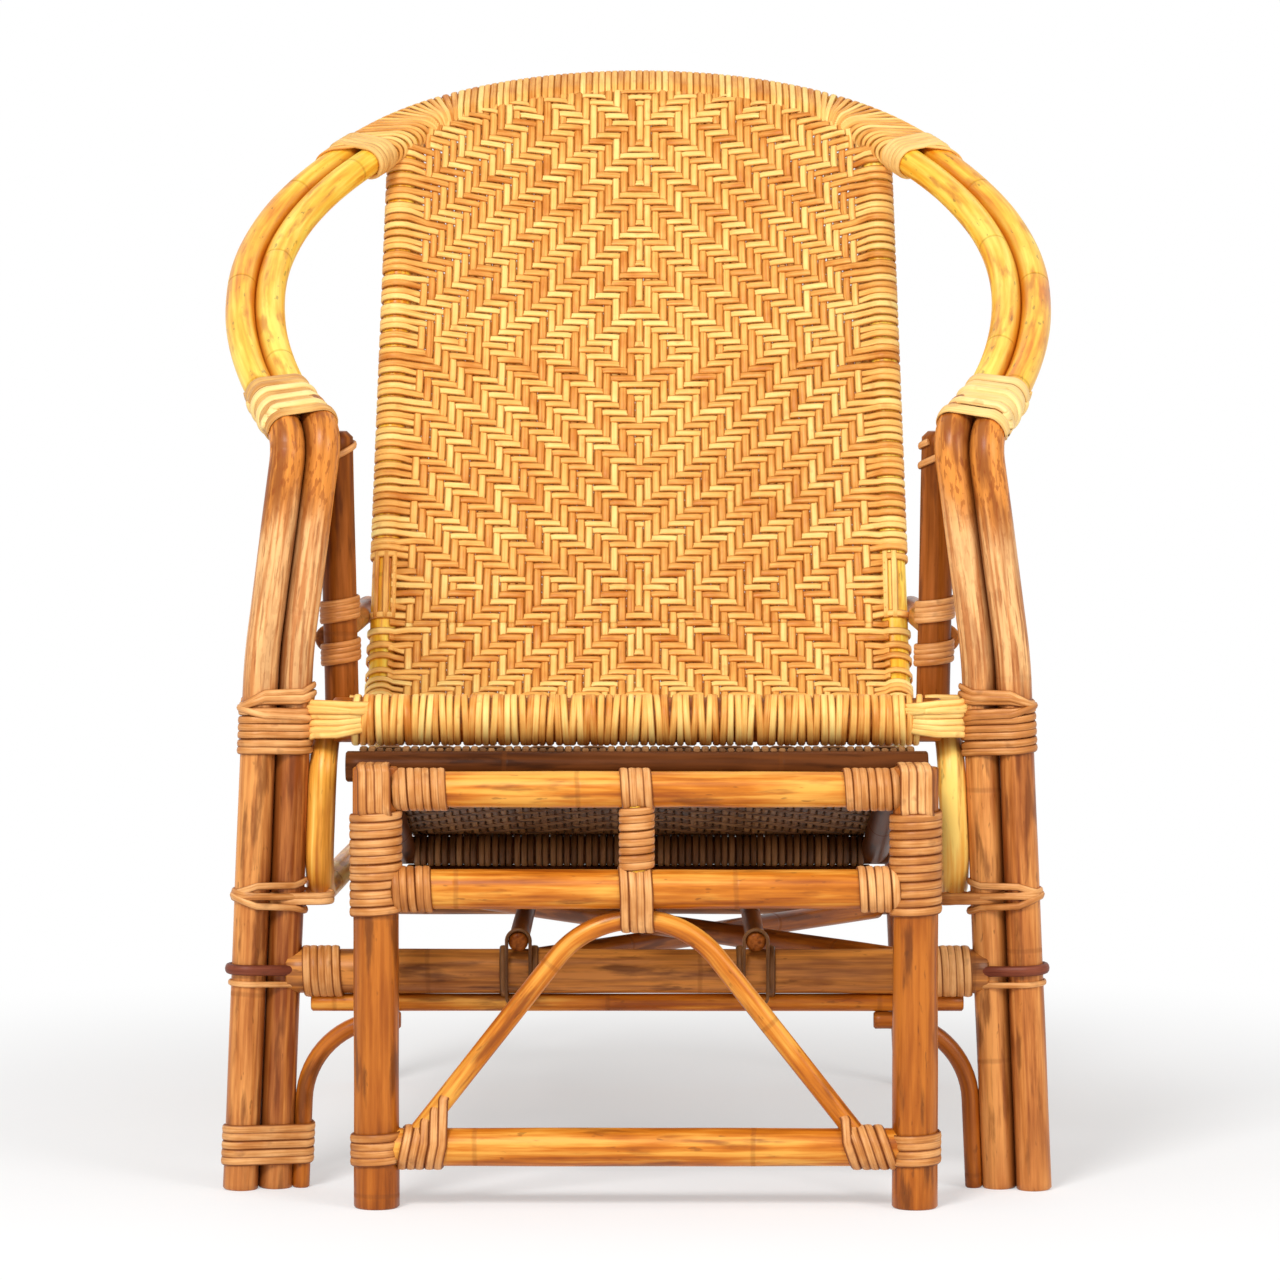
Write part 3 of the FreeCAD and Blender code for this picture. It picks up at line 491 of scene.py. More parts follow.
def strand_finish(name, deep, middle, pale, flat=2.0, spread=0.5, edge_shade=0.6):
    """Split cane: a tone for each strand, fine lines along it, darker patches, and painted shade on the
    strand's sides, for the shade between neighbouring strands, beginning at the given millimetres from its
    middle."""
    f = Finish(name, {"Specular IOR Level": 0.25})
    cane, tone = f.attribute("cane", "Vector"), f.attribute("tone")
    line = f.noise(cane, 700.0, 3.0, 0.04)
    patch = f.noise(cane, 48.0, 4.0, 0.5, 0.6)
    stain = f.noise(cane, 120.0, 3.0, 0.4, 0.5)
    # Painted shade along the strand's sides, where neighbouring strands shade each other
    edge_shade_mask = abs(f.part(cane, 0)).smooth(flat * 0.001, flat * 0.0017)
    share = 0.5 + (tone - 0.5) * spread + (patch - 0.5) * 0.9 + (line - 0.5) * 0.6
    colour = f.ramp(share, (0.14, deep), (0.5, middle), (0.84, pale))
    colour = f.mix(colour, (stain.smooth(0.58, 0.72) * 0.5, deep), (edge_shade_mask * edge_shade, deep))
    rough = 0.45 + (patch - 0.5) * 0.3
    return f.show(colour, rough, line, 0.4, 0.0006)


golden_pole = pole_finish("golden_cane", (226, 134, 18), (250, 192, 54), (255, 226, 96), (206, 118, 20))
bow_pole = pole_finish("bow_cane", (192, 112, 30), (240, 166, 62), (255, 214, 112), (164, 86, 22))
rail_pole = pole_finish("rail_cane", (158, 78, 12), (204, 118, 30), (238, 170, 72), (130, 64, 14))
leg_pole = pole_finish("leg_cane", (138, 68, 22), (192, 116, 54), (228, 154, 82), (112, 54, 16), scorch=True)
base_pole = pole_finish("base_cane", (126, 60, 8), (164, 86, 20), (192, 110, 34), (98, 46, 8))
dark_pole = pole_finish("dark_cane", (118, 62, 20), (160, 96, 44), (212, 136, 60), (92, 46, 14))
# Painted shade: the arm posts and the runners stand in shade under the arms and the seat, so their cane is
# painted darker and with less sheen
shaded_post_pole = pole_finish("shaded_post_cane", (104, 46, 8), (140, 74, 20), (166, 92, 36), (84, 38, 8), gloss=0.4)
# Painted shade: shaded_cane is a dark, low-sheen copy of the cane for the footrest's tray rails, which lie
# in shade under the seat
shaded_pole = pole_finish("shaded_cane", (62, 28, 8), (86, 44, 16), (104, 56, 24), (48, 22, 8), gloss=0.2)
weave_strand = strand_finish("woven_cane", (204, 122, 42), (249, 188, 98), (255, 224, 138), 1.7)
# Painted shade: shaded_weave is a dark copy of the woven cane for the footrest's woven top and the runner
# lashings, in shade under the seat
shaded_strand = strand_finish("shaded_weave", (78, 48, 22), (122, 78, 40), (160, 112, 66), 1.7)
binding_strand = strand_finish("binding_cane", (124, 60, 16), (196, 126, 62), (246, 186, 120), 2.0, 0.6, 0.9)
arm_strand = strand_finish("arm_binding_cane", (196, 134, 66), (242, 196, 118), (255, 224, 152), 4.6)
ring_strand = strand_finish("red_ring_cane", (62, 24, 14), (100, 42, 24), (132, 66, 40), 3.0)


def cane_pole(node, path, radius, up, finish, slot="rattan_pole", seam=None, bevel=1.5, name=""):
    """Round pole: a ring carried along the path, whose radius swells and shrinks in two slow waves."""
    piece, along = Strands(28), run_of(path)
    slow, quick, _ = phase(3)
    swell = 0.008 * np.sin(along / 61.0 + slow) + 0.006 * np.sin(along / 23.0 + quick)
    radius = radius * (0.992 + swell)
    piece.carry(path, up, radius, radius, tone=rng.random(), bevel=bevel, seam=seam)
    piece.piece(name or "cane_" + node, node, finish, slot)


def pair_of_poles(name, path, radius, finish, up=X, seam=None, **more):
    """The same pole on the right and, mirrored, on the left."""
    cane_pole(name + "_right", path, radius, up, finish, seam=seam, **more)
    seam = None if seam is None else mirror(seam)
    cane_pole(name + "_left", mirror(path), radius, up, finish, seam=seam, **more)


def level_pole(node, half, y, z, radius, finish, shift=0.0):
    """Pole from side to side at one height."""
    line = straight([shift - half, y, z], [shift + half, y, z])
    cane_pole(node, line, radius, Z, finish)


# Hoop and legs
# Each pole's seam points at its twin, for the painted shade between them
hoop_inward = unit(hoop_line(hoop_step) - hoop_line(0.0))
for name, inset, seam in (("hoop_outer", 0.0, hoop_inward), ("hoop_inner", hoop_step, -hoop_inward)):
    line, radius = hoop_line(inset), hoop_r + hoop_skin
    cane_pole(name + "_pole", line, radius, hoop_normal, golden_pole, seam=seam, name="cane_" + name)
for name, inner, seam in (("outer", False, unit(twin_shift)), ("inner", True, -unit(twin_shift))):
    line, radius = leg_line(inner), frame_r + leg_skin
    pair_of_poles("front_leg_" + name, line, radius, leg_pole, seam=seam, slot="leg_pole")

# Seat and back rails
rail_line = bent_line([rail_front, crease, stile_top], [seat_bend_radius], 3.0)
pair_of_poles("seat_side_rail", rail_line, rail_r, golden_pole)
rear_line = straight(rear_top + rear_run * rear_leg_drop, rear_foot)
pair_of_poles("rear_leg", rear_line, frame_r, base_pole, slot="leg_pole")
bow_inset = -(frame_r + bow_r) * X
bow_top, bow_low = leg_at(bow_top_z, True) + bow_inset, leg_at(bow_low_z, True) + bow_inset
bow_line = bent_line([bow_top + bow_tail * Y, bow_top, bow_low, rear_at(bow_low_z)], [bow_bend_r] * 2)
pair_of_poles("guide_bow", bow_line, bow_r, bow_pole)
post_share = (post_y - front_rail_y) / seat_depth
post_rail_x = seat_front_half + (seat_rear_half - seat_front_half) * post_share
post_foot = np.array([post_rail_x + rail_r + frame_r, post_y, bow_top_z])
arm_place = on_hoop("front", front_angle + post_lap / front_arc_r, hoop_step)
post_run = unit(arm_place - post_lean * X - post_foot)


def post_at(z):
    """Centre of the right arm post at a height."""
    return post_foot + post_run * ((z - post_foot[2]) / post_run[2])


pair_of_poles("arm_post", straight(post_foot, post_at(post_top_z)), frame_r, shaded_post_pole, bevel=5.0)
stile_share = (side_rail_z - crease[2]) / stile_run[2]
side_rail_x = crease[0] + stile_run[0] * stile_share + rail_r + side_rail_r
side_rail_rear = [side_rail_x, rear_at(side_rail_z)[1], side_rail_z]
side_rail_line = straight([side_rail_x, side_rail_y, side_rail_z], side_rail_rear)
pair_of_poles("side_rail", side_rail_line, side_rail_r, dark_pole)
bend_inward = unit(stile_run - seat_run)
bend_middle = crease + bend_inward * seat_bend_radius * (1 / sin(half_bend) - 1)
crease_rail = bend_middle - bend_inward * (rail_r + crease_rail_r)
level_pole("seat_front_rail", bow_top[0] - rail_lap, front_rail_y, front_rail_z, front_rail_r, base_pole)
level_pole("seat_crease_rail", seat_rear_half + rail_lap, *crease_rail[1:], crease_rail_r, base_pole)

# Base
stretcher_end, rear_end = leg_at(stretcher_z, True), rear_at(stretcher_z)
for name, end in (("front_stretcher", stretcher_end), ("rear_stretcher", rear_end)):
    level_pole(name, end[0] - stretcher_gap, end[1], stretcher_z, stretcher_r, dark_pole)
under_z = stretcher_z - stretcher_r - thin_r
under_half, spandrel_z = stretcher_end[0] - under_inset, under_z - 2 * thin_r
level_pole("under_stretcher_pole", under_half, stretcher_end[1], under_z, thin_r, rail_pole)
spandrel_inset = -(frame_r + thin_r) * X
spandrel_low, spandrel_top = (leg_at(z, True) + spandrel_inset for z in (0.0, spandrel_z))
spandrel_end = [spandrel_reach, stretcher_end[1], spandrel_z]
spandrel_line = bent_line([spandrel_low, spandrel_top, spandrel_end], [spandrel_bend_r])
pair_of_poles("spandrel", spandrel_line, thin_r, base_pole, up=Y)
runner_z = stretcher_z + stretcher_r + runner_r
runner_front, runner_rear = stretcher_end[1] - runner_tail, rear_end[1] + runner_tail
runner_line = straight([runner_x, runner_front, runner_z], [runner_x, runner_rear, runner_z])
pair_of_poles("runner", runner_line, runner_r, shaded_post_pole, up=Z, bevel=3.0)
for name, half, z in (
    ("base_brace_upper", brace_half, brace_upper_z), ("base_brace_lower", -brace_half, brace_lower_z)
):
    line = straight([half, stretcher_end[1] + brace_inset, z], [-half, rear_end[1] - brace_inset, z])
    cane_pole(name, line, brace_r, Z, base_pole)

# Footrest
for name, side in (("right", 1.0), ("left", -1.0)):
    x = foot_leg_shift + side * foot_leg_half
    line = straight([x, foot_y, foot_leg_top], [x, foot_y, 0.0])
    cane_pole("footrest_leg_" + name, line, foot_leg_r, X, base_pole)
foot_rail_half = foot_leg_half - foot_rail_gap
for name, z, radius in (
    ("top", foot_top_z, foot_top_r), ("mid", foot_mid_z, foot_mid_r), ("low", foot_low_z, foot_low_r)
):
    node = "footrest_%s_rail" % name
    level_pole(node, foot_rail_half, foot_y, z, radius, rail_pole, foot_leg_shift)
arch_rise = tan(arch_slope)
arch_top, arch_peak = foot_mid_z - foot_mid_r - arch_r, foot_low_z + arch_foot_half * arch_rise
arch_radius = (arch_peak - arch_top) / (hypot(1.0, arch_rise) - 1)
arch_end = np.array([arch_end_half, foot_y, arch_peak - arch_end_half * arch_rise])
arch_line = bent_line([mirror(arch_end), [0.0, foot_y, arch_peak], arch_end], [arch_radius])
cane_pole("footrest_arch", arch_line, arch_r, Y, rail_pole)
post_low, post_high = foot_mid_z + foot_post_gap, foot_top_z - foot_post_gap
foot_post_line = straight([0.0, foot_y, post_low], [0.0, foot_y, post_high])
cane_pole("footrest_post", foot_post_line, foot_post_r, X, golden_pole)
tray_front_y = foot_y + foot_leg_r + tray_set_back
slide_z = runner_z + runner_r + slide_gap + slide_r
tray_rear_z = slide_z + slide_r + tray_r
for name, half, y, z, radius in (
    ("tray_front_rail", 241.5, tray_front_y, tray_front_z, tray_r),
    ("tray_rear_rail", 231.0, tray_rear_y, tray_rear_z, tray_r),
    ("slide_bar", 214.0, tray_rear_y, slide_z, slide_r),
):
    level_pole("footrest_" + name, half, y, z, radius, shaded_pole)
tray_side = straight([tray_side_x, tray_front_y, tray_front_z], [tray_side_x, tray_rear_y, tray_rear_z])
pair_of_poles("footrest_tray_side_rail", tray_side, tray_r, shaded_pole)

# Weave: a sheet with places f, across from -1 to 1, and d, millimetres up the back from the bend
weave_lift, crown_lift = 7.8, 20.2
dip_start, dip_run, dip_depth = 18.0, 20.0, 9.0
bend_foot = (crease + stile_run * bend_reach) * [0, 1, 1] + back_normal * weave_lift
bend_r, bend_turn = seat_bend_radius - weave_lift, pi - 2 * half_bend
bend_centre = bend_foot + back_normal * bend_r
seat_way = unit(seat_run * [0, 1, 1])
seat_top = bend_centre - seat_normal * bend_r
crown_half = stile_top[0]


def crown_place(f):
    """Where the weave meets the hoop's crown: on the inner pole's top arc, on the sitter's side."""
    centre_u, radius = hoop_length - hoop_top_radius, hoop_top_radius - hoop_step
    x = f * crown_half
    return in_hoop(x, centre_u + np.sqrt(radius ** 2 - x ** 2)) + back_normal * crown_lift


def back_length(f):
    """Length of the back's line at f, from the bend to the crown."""
    foot = bend_foot + np.asarray(f, float)[..., None] * seat_rear_half * X
    return np.linalg.norm(crown_place(f) - foot, axis=-1)


def sheet(f, d):
    """Middle of the weave. On the back each f has a straight line from the bend to the crown, whose
    last run dips under the wrap; below it an arc turns into the seat, which narrows to the front."""
    f, d = np.broadcast_arrays(f, d)
    foot = bend_foot + f[..., None] * seat_rear_half * X
    head = crown_place(f)
    length = np.linalg.norm(head - foot, axis=-1)
    dip = np.clip((d - length + dip_start) / dip_run, 0, 1)
    back = foot + (head - foot) * (d / length)[..., None] - (dip_depth * dip ** 2)[..., None] * back_normal
    turn = np.clip(-d / bend_r, 0, bend_turn)
    arc = bend_centre - bend_r * (np.cos(turn)[..., None] * back_normal + np.sin(turn)[..., None] * back_run)
    run = np.maximum(-d - bend_r * bend_turn, 0.0)
    width = seat_rear_half + (seat_front_half - seat_rear_half) * run / (seat_depth - bend_reach)
    below = arc - run[..., None] * seat_way + (f * width)[..., None] * X
    return np.where((d > 0)[..., None], back, below)


def sheet_normal(f, d):
    """Direction out of the sheet, from places close by."""
    near_f, near_d = 0.004, 1.0
    along = sheet(f, d + near_d) - sheet(f, d - near_d)
    aside = sheet(f + near_f, d) - sheet(f - near_f, d)
    return -unit(np.cross(along, aside))


# The camera's height and its distance in metres, and the image row and scale that go with them
camera_z, camera_reach, level_row, image_scale = 677.0, 4.2, 385.5, 4.998
# Image rows: where the weave's diagonals turn, between which the side rails have lost their turns,
# and to which the next ones are loose
turning_row, bare_rows, loose_end = 349.0, (563.0, 609.0), 684.0


def photo_row(point):
    """Image row at which the camera sees a point, for places read from the picture."""
    return level_row + (camera_z - point[..., 2]) * image_scale / (camera_reach + point[..., 1] * metre)


weft_pitch, warp_count, field_share, ply = 7.25, 27, 0.905, 1.25
strand_through, weft_across, warp_across = 1.2, (3.25, 3.65), 3.95
edge_across, edge_depth = 6.5, 2.6
half_period = 34
hook_first, hook_last, hook_short, hook_lift, hook_sway = 42.0, 205.0, 66.0, 1.6, 1.6
centre_run = np.linspace(-200.0, 480.0, 2000)
centre_rows = photo_row(sheet(np.zeros_like(centre_run), centre_run))
pattern_d = np.interp(-turning_row, -centre_rows, centre_run)


def weft_over(i, j):
    """Twill of three over and three under, stepped by one each row and turned into diamonds."""
    zigzag = np.abs((j + half_period) % (2 * half_period) - half_period)
    return np.where(np.isin((np.abs(i) + zigzag) % 6, (5, 0, 1)), 1.0, -1.0)


def between(values):
    """The values with their averages put in between."""
    full = np.empty(2 * len(values) - 1)
    full[::2], full[1::2] = values, (values[1:] + values[:-1]) / 2
    return full


def rail_beside(d):
    """Centre of the right side rail beside the weave's row."""
    if d > 0:
        foot = crease + stile_run * bend_reach
        return foot + (stile_top - foot) * d / back_length(1.0)
    place = sheet(1.0, d) - sheet_normal(0.0, d) * weave_lift
    return rail_line[np.hypot(*(rail_line - place)[:, 1:].T).argmin()]


def hook(d, side, first, last):
    """A weft's turn round a side rail, from the inner side over the front to the back."""
    rail, normal = rail_beside(d), back_normal if d > 0 else sheet_normal(0.0, d)
    out = around(np.radians(np.linspace(first, last, 9)), -X, normal)
    turn = rail + (rail_r + hook_lift) * out
    return turn * [side, 1, 1], out * [side, 1, 1]


def weft(piece, j, tone):
    """Strand across the sheet on row j: a ply over or under each warp, slightly waved, and turned round
    the side rails where it reaches them."""
    d = pattern_d - weft_pitch * j
    numbers = np.arange(-warp_count, warp_count + 1)
    places = numbers / (warp_count + 0.5) * field_share
    shown = back_length(places) > d - 2.0
    if shown.sum() < 4:
        return
    numbers, places = numbers[shown], between(places[shown])
    height = between(weft_over(numbers, j) * ply)
    row = d + rng.uniform(0.2, 0.7) * np.sin(places * rng.uniform(4.0, 9.0) + phase())
    out = sheet_normal(places, row)
    path = sheet(places, row) + height[:, None] * out
    if shown.sum() > len(shown) - 5 and d < back_length(1.0) - 5.0:
        seen = photo_row(rail_beside(d))
        wrapped = seen < bare_rows[0] or seen > loose_end or seen > bare_rows[1] and j % 2 == 0
        last = hook_last if wrapped else hook_short
        sway = rng.uniform(-hook_sway, hook_sway, 2)
        right, left = (hook(d + s, side, hook_first, last) for s, side in zip(sway, (1.0, -1.0)))
        path = join([left[0][::-1], path, right[0]])
        out = join([left[1][::-1], out, right[1]])
    piece.carry(path, out, rng.uniform(*weft_across), strand_through, tone=tone)


def warp(piece, i, low, high, tone):
    """Strand along the sheet at place i, against the wefts' ply; one beyond the field lies under all."""
    place = i / (warp_count + 0.5) * field_share
    top = back_length(place) + 1.0
    first = ceil((pattern_d - min(high, top)) / weft_pitch)
    rows = np.arange(first, floor((pattern_d - low) / weft_pitch) + 1)
    d = between(pattern_d - weft_pitch * rows)
    height = between(weft_over(i, rows) * -ply)
    if high > top:
        d, height = join([[top], d]), join([height[:1], height])
    in_field = abs(i) <= warp_count
    if not in_field:
        height = np.full(len(d), -edge_depth * ply)
    f = place + rng.uniform(0.0005, 0.0018) * np.sin(d / rng.uniform(35.0, 70.0) + phase())
    out, across = sheet_normal(f, d), warp_across if in_field else edge_across
    piece.carry(sheet(f, d) + height[:, None] * out, out, across, strand_through, tone=tone)


seat_end = -(bend_r * bend_turn + seat_depth - bend_reach)
last_row = floor((pattern_d - seat_end) / weft_pitch)
turn_row = floor(pattern_d / weft_pitch)
first_row = ceil((pattern_d - back_length(0.0)) / weft_pitch)
for name, node, rows, low, high in (
    ("back", "woven_back", range(first_row, turn_row + 1), 0.0, 999.0),
    ("seat", "woven_seat", range(turn_row + 1, last_row + 1), seat_end, weft_pitch),
):
    wefts, warps = Strands(), Strands()
    for j in rows:
        weft(wefts, j, rng.random())
    for i in range(-warp_count - 1, warp_count + 2):
        warp(warps, i, low, high, rng.random())
    if name == "back":
        # Strands that lie along the bare rails
        runs = np.linspace(8.0, 72.0, 12)
        for side, turn in ((1.0, 58.0), (1.0, 92.0), (-1.0, 52.0), (-1.0, 84.0), (-1.0, 122.0)):
            ends = [hook(d, side, turn + 0.05 * d, turn + 0.05 * d) for d in runs]
            path, out = [line[0] for line, _ in ends], np.array([face[0] for _, face in ends])
            wefts.carry(path, out, 3.0, strand_through)
    wefts.piece(name + "_wefts", node, weave_strand)
    warps.piece(name + "_warps", node, weave_strand)


# Turns round the hoop's two poles
def stadium(angle, radius):
    """Outline of two discs a hoop step apart: places across the poles and out of their plane."""
    return radius * np.cos(angle) - hoop_step * (np.cos(angle) < 0), radius * np.sin(angle)


def round_hoop(piece, arc, theta, angle, outline, side, width, thick, closed=False):
    """Strand round both hoop poles: theta along the arc, the outline's places out from the arc."""
    cx, cu, radius = hoop_arcs[arc]
    radial = around(theta, X, hoop_slope)
    path = in_hoop(cx, cu) + (radius + outline[0])[:, None] * radial + outline[1][:, None] * hoop_normal
    out = around(angle, radial, hoop_normal)
    piece.carry(path * [side, 1, 1], out * [side, 1, 1], width / 2, thick / 2, closed=closed)


def crown_turn(piece, x, lean):
    """A warp's loop round both poles. It crosses them upright with no lean, square to them at a lean
    of 1, and on the slant towards the weave beyond that."""
    arc = "top" if abs(x) < hoop_top_radius * cos(shoulder_angle) - hoop_step / 2 else "side"
    cx, _, radius = hoop_arcs[arc]
    angle = np.linspace(0, 2 * pi, 40, endpoint=False)
    outline = stadium(angle, hoop_r + crown_rise)
    square = acos(np.clip((abs(x) - cx) / (radius - hoop_step / 2), -1, 1))
    level = np.arccos(np.clip((abs(x) - cx) / (radius + outline[0]), -1, 1))
    theta = level + (square - level) * lean
    round_hoop(piece, arc, theta, angle, outline, copysign(1.0, x), crown_width, crown_thick, True)


def shoulder_winding(piece, side, drop, length, turns, width, thick):
    """One flat strand wound round both poles along the side arc, from a drop below the crown's start."""
    angle = np.linspace(0, 2 * pi * turns, 36 * turns)
    outline = stadium(angle, hoop_r + thick / 2)
    sway = 0.5 * np.sin(angle * 0.41 + phase())
    run = np.linspace(width / 2, length - width / 2, len(angle)) + sway
    theta = crown_start - drop / side_arc_r + run / side_arc_r
    round_hoop(piece, "side", theta, angle, outline, side, width, thick)


crown = Strands()
crown_reach = on_hoop("side", crown_start, hoop_step / 2)[0] + 14.0
crown_pitch, crown_close, closer, lean_start, lean_run, lean_most = 6.2, 190.0, 0.75, 175.0, 55.0, 1.5
crown_width, crown_thick, crown_rise = 6.6, 2.6, 1.7
for x in np.arange(-50, 51) * crown_pitch:
    if abs(x) >= crown_close:
        x = copysign(crown_close + (abs(x) - crown_close) * closer, x)
    if abs(x) < crown_reach:
        lean = lean_most * np.clip((abs(x) - lean_start) / lean_run, 0, 1)
        crown_turn(crown, x + rng.uniform(-0.4, 0.4), lean)
crown.piece("crown_turns", "crown_wrap", weave_strand)

# Turns round the front rail
front_wrap = Strands()
angle = np.linspace(0, 2 * pi, 26, endpoint=False)
rail_out = around(angle, Y, Z)
front_pitch, front_lift = 6.05, 1.6
for x in np.arange(-39, 40) * front_pitch:
    sway = rng.uniform(-0.8, 0.8) + rng.uniform(-1.8, 1.8) * np.sin(angle + rng.uniform(-0.6, 0.6))
    ring = front_rail_y * Y + front_rail_z * Z + (front_rail_r + front_lift) * rail_out
    ring = ring + (x + sway)[:, None] * X
    front_wrap.carry(ring, rail_out, rng.uniform(2.8, 3.4), 1.4, closed=True)
front_wrap.piece("front_rail_turns", "front_rail_wrap", weave_strand)

# Footrest's woven top
tray_front, tray_rear = tray_front_y * Y + tray_front_z * Z, tray_rear_y * Y + tray_rear_z * Z
tray_way = unit(tray_rear - tray_front)
tray_up = np.cross(X, tray_way)
tray_length = hypot(tray_rear_y - tray_front_y, tray_rear_z - tray_front_z)
tray_weft_pitch, tray_weft_across, tray_warp_pitch, tray_warp_across = 7.0, 3.1, 7.1, 3.3
tray_lift, tray_turn_pitch, tray_turn_lift, tray_turn_across, tray_turn_through = 3.1, 6.6, 1.2, 2.9, 1.1
tray_edge_half, tray_edge_lift, tray_edge_across, tray_edge_through = 205.0, 2.2, 3.0, 1.3
tray_root = tray_front + tray_up * (tray_r + tray_lift)
tray_wefts, tray_lengths = Strands(), Strands()
tray_rows, tray_warps = np.arange(1, int(tray_length / tray_weft_pitch) + 3), np.arange(-32, 33)
for j in tray_rows:
    height = between(weft_over(tray_warps, j) * ply)[:, None]
    row = tray_root + between(tray_warps * tray_warp_pitch)[:, None] * X + j * tray_weft_pitch * tray_way
    tray_wefts.carry(row + height * tray_up, tray_up, tray_weft_across, strand_through)
for i in tray_warps:
    height = join([[-3.4, -1.8], between(weft_over(i, tray_rows) * -ply)])[:, None]
    run = join([[-5.0, 0.0], between(tray_rows * tray_weft_pitch)])[:, None]
    column = tray_root + i * tray_warp_pitch * X + run * tray_way
    tray_lengths.carry(column + height * tray_up, tray_up, tray_warp_across, strand_through)
for x in np.arange(-31, 32) * tray_turn_pitch:
    ring = (x + rng.uniform(-0.6, 0.6)) * X + tray_rear + (tray_r + tray_turn_lift) * rail_out
    tray_lengths.carry(ring, rail_out, tray_turn_across, tray_turn_through, closed=True)
for step in (-6.0, -1.0, 4.0):
    line = tray_rear + tray_up * (tray_r + tray_edge_lift) + step * tray_way
    path = straight(line - tray_edge_half * X, line + tray_edge_half * X)
    tray_wefts.carry(path, tray_up, tray_edge_across, tray_edge_through)
tray_wefts.piece("footrest_wefts", "footrest_woven_top", shaded_strand)
tray_lengths.piece("footrest_warps", "footrest_woven_top", shaded_strand)


# Bindings
def winding(
    piece, discs, root, axis, length, turns, width=7.0, thick=3.0, lean=0.0, fan=0.0, drift=None, facing=-Y
):
    """One flat strand wound round parallel poles: at each angle it lies on the pole that reaches
    farthest that way, and it climbs along the axis with a slight sway. A lean slants it in front, a fan
    lifts its inner side, by one amount or from a first to a last, and a drift raises the second pole
    with the climb, from the first pole's own place."""
    axis = unit(axis)
    front = unit(facing - (facing @ axis) * axis)
    aside = np.cross(axis, front)
    count = int(34 * turns)
    angle = np.linspace(0, 2 * pi * turns, count) - pi
    out = around(angle, front, aside)
    climb = np.linspace(width / 2, length - width / 2, count)
    centres = np.array([c for c, _ in discs], float)[None].repeat(count, 0)
    if drift is not None:
        centres[:, 1] = np.maximum(centres[:, 1] + climb[:, None] * drift, 0.0)
    radii = np.array([r for _, r in discs])
    best = ((out[:, None] * centres).sum(-1) + radii).argmax(-1)
    inner = -copysign(1.0, root[0]) * copysign(1.0, aside[0])
    sway = 0.4 * np.sin(angle * 0.37 + phase()) + lean * np.sin(angle)
    sway = sway + np.linspace(*np.broadcast_to(fan, 2), count) * (1.0 + inner * np.sin(angle)) / 2
    surface = centres[np.arange(count), best] + (radii[best] + thick / 2)[:, None] * out
    path = root + surface + (climb + sway)[:, None] * axis
    piece.carry(path, out, width / 2, thick / 2, tone=rng.uniform(0.4, 0.85))


def both(piece, discs, root, axis, length, turns, **more):
    """The same winding on the right and left."""
    for side in (1.0, -1.0):
        flip = np.array([side, 1.0, 1.0])
        sided = [(flip * c, r) for c, r in discs]
        winding(piece, sided, flip * root, flip * axis, length, turns, **more)


def one_pole(radius):
    """The disc of a single pole."""
    return [(np.zeros(3), radius)]


def bound(piece, name, node, finish=binding_strand):
    piece.piece(name, node, finish, "binding_strand")


def arm_winding(piece, turns, side, width, thick, first, last):
    """One flat strand wound round both poles from the leg's bend up the arm. Places are distances
    from the arm's end: forwards the poles are the leg's, backwards the hoop's."""
    bend = leg_line()
    bend_place = run_of(bend) - leg_lap
    places = np.linspace(first, last, int(40 * turns))
    ahead = (places > 0)[:, None]
    on_leg = np.stack([np.interp(places, bend_place, bend[:, k]) for k in range(3)], -1)
    theta = front_angle - np.minimum(places, 0.0) / front_arc_r
    outer = np.where(ahead, on_leg, on_hoop("front", theta))
    inner = np.where(ahead, on_leg + twin_shift, on_hoop("front", theta, hoop_step))
    run = unit(np.gradient((outer + inner) / 2, axis=0))
    aside = outer - inner
    aside = unit(aside - (aside * run).sum(-1, keepdims=True) * run)
    up = np.cross(aside, run)
    up = up * np.sign((up * (hoop_normal - Y)).sum(-1, keepdims=True))
    angle = np.linspace(0, 2 * pi * turns, len(places))
    out = around(angle, aside, up)
    thinner = hoop_r + 1.5 * np.clip((places + leg_lap) / leg_lap, 0, 1)
    radius = np.where(places > 0, frame_r, thinner) + thick / 2
    wander = 1.4 * np.sin(angle * 0.31 + phase())
    path = np.where((np.cos(angle) > 0)[:, None], outer, inner)
    path = path + radius[:, None] * out + wander[:, None] * run
    piece.carry(path * [side, 1, 1], out * [side, 1, 1], width / 2, thick / 2)


arms = Strands(8)
for turns, side, width in ((6, 1.0, 15.0), (8, -1.0, 11.4)):
    arm_winding(arms, turns, side, width, 2.6, 12.0, -70.0)
for turns, side in ((2, 1.0), (3, -1.0)):
    arm_winding(arms, turns, side, 9.0, 4.6, 2.0, -52.0)
bound(arms, "arm_windings", "arm_bindings", arm_strand)
shoulders = Strands(8)
for side in (1.0, -1.0):
    shoulder_winding(shoulders, side, drop=34.0, length=38.0, turns=5, width=8.0, thick=4.4)
bound(shoulders, "shoulder_windings", "shoulder_bindings", arm_strand)

twin_aside = twin_shift - lower_run * (twin_shift @ lower_run)
twin_discs = one_pole(frame_r) + [(twin_aside, frame_r)]


def up_legs(piece, low, length, turns, discs=twin_discs, **more):
    """The same winding up both pairs of front legs, from a height."""
    both(piece, discs, leg_at(low), -lower_run, length, turns, **more)


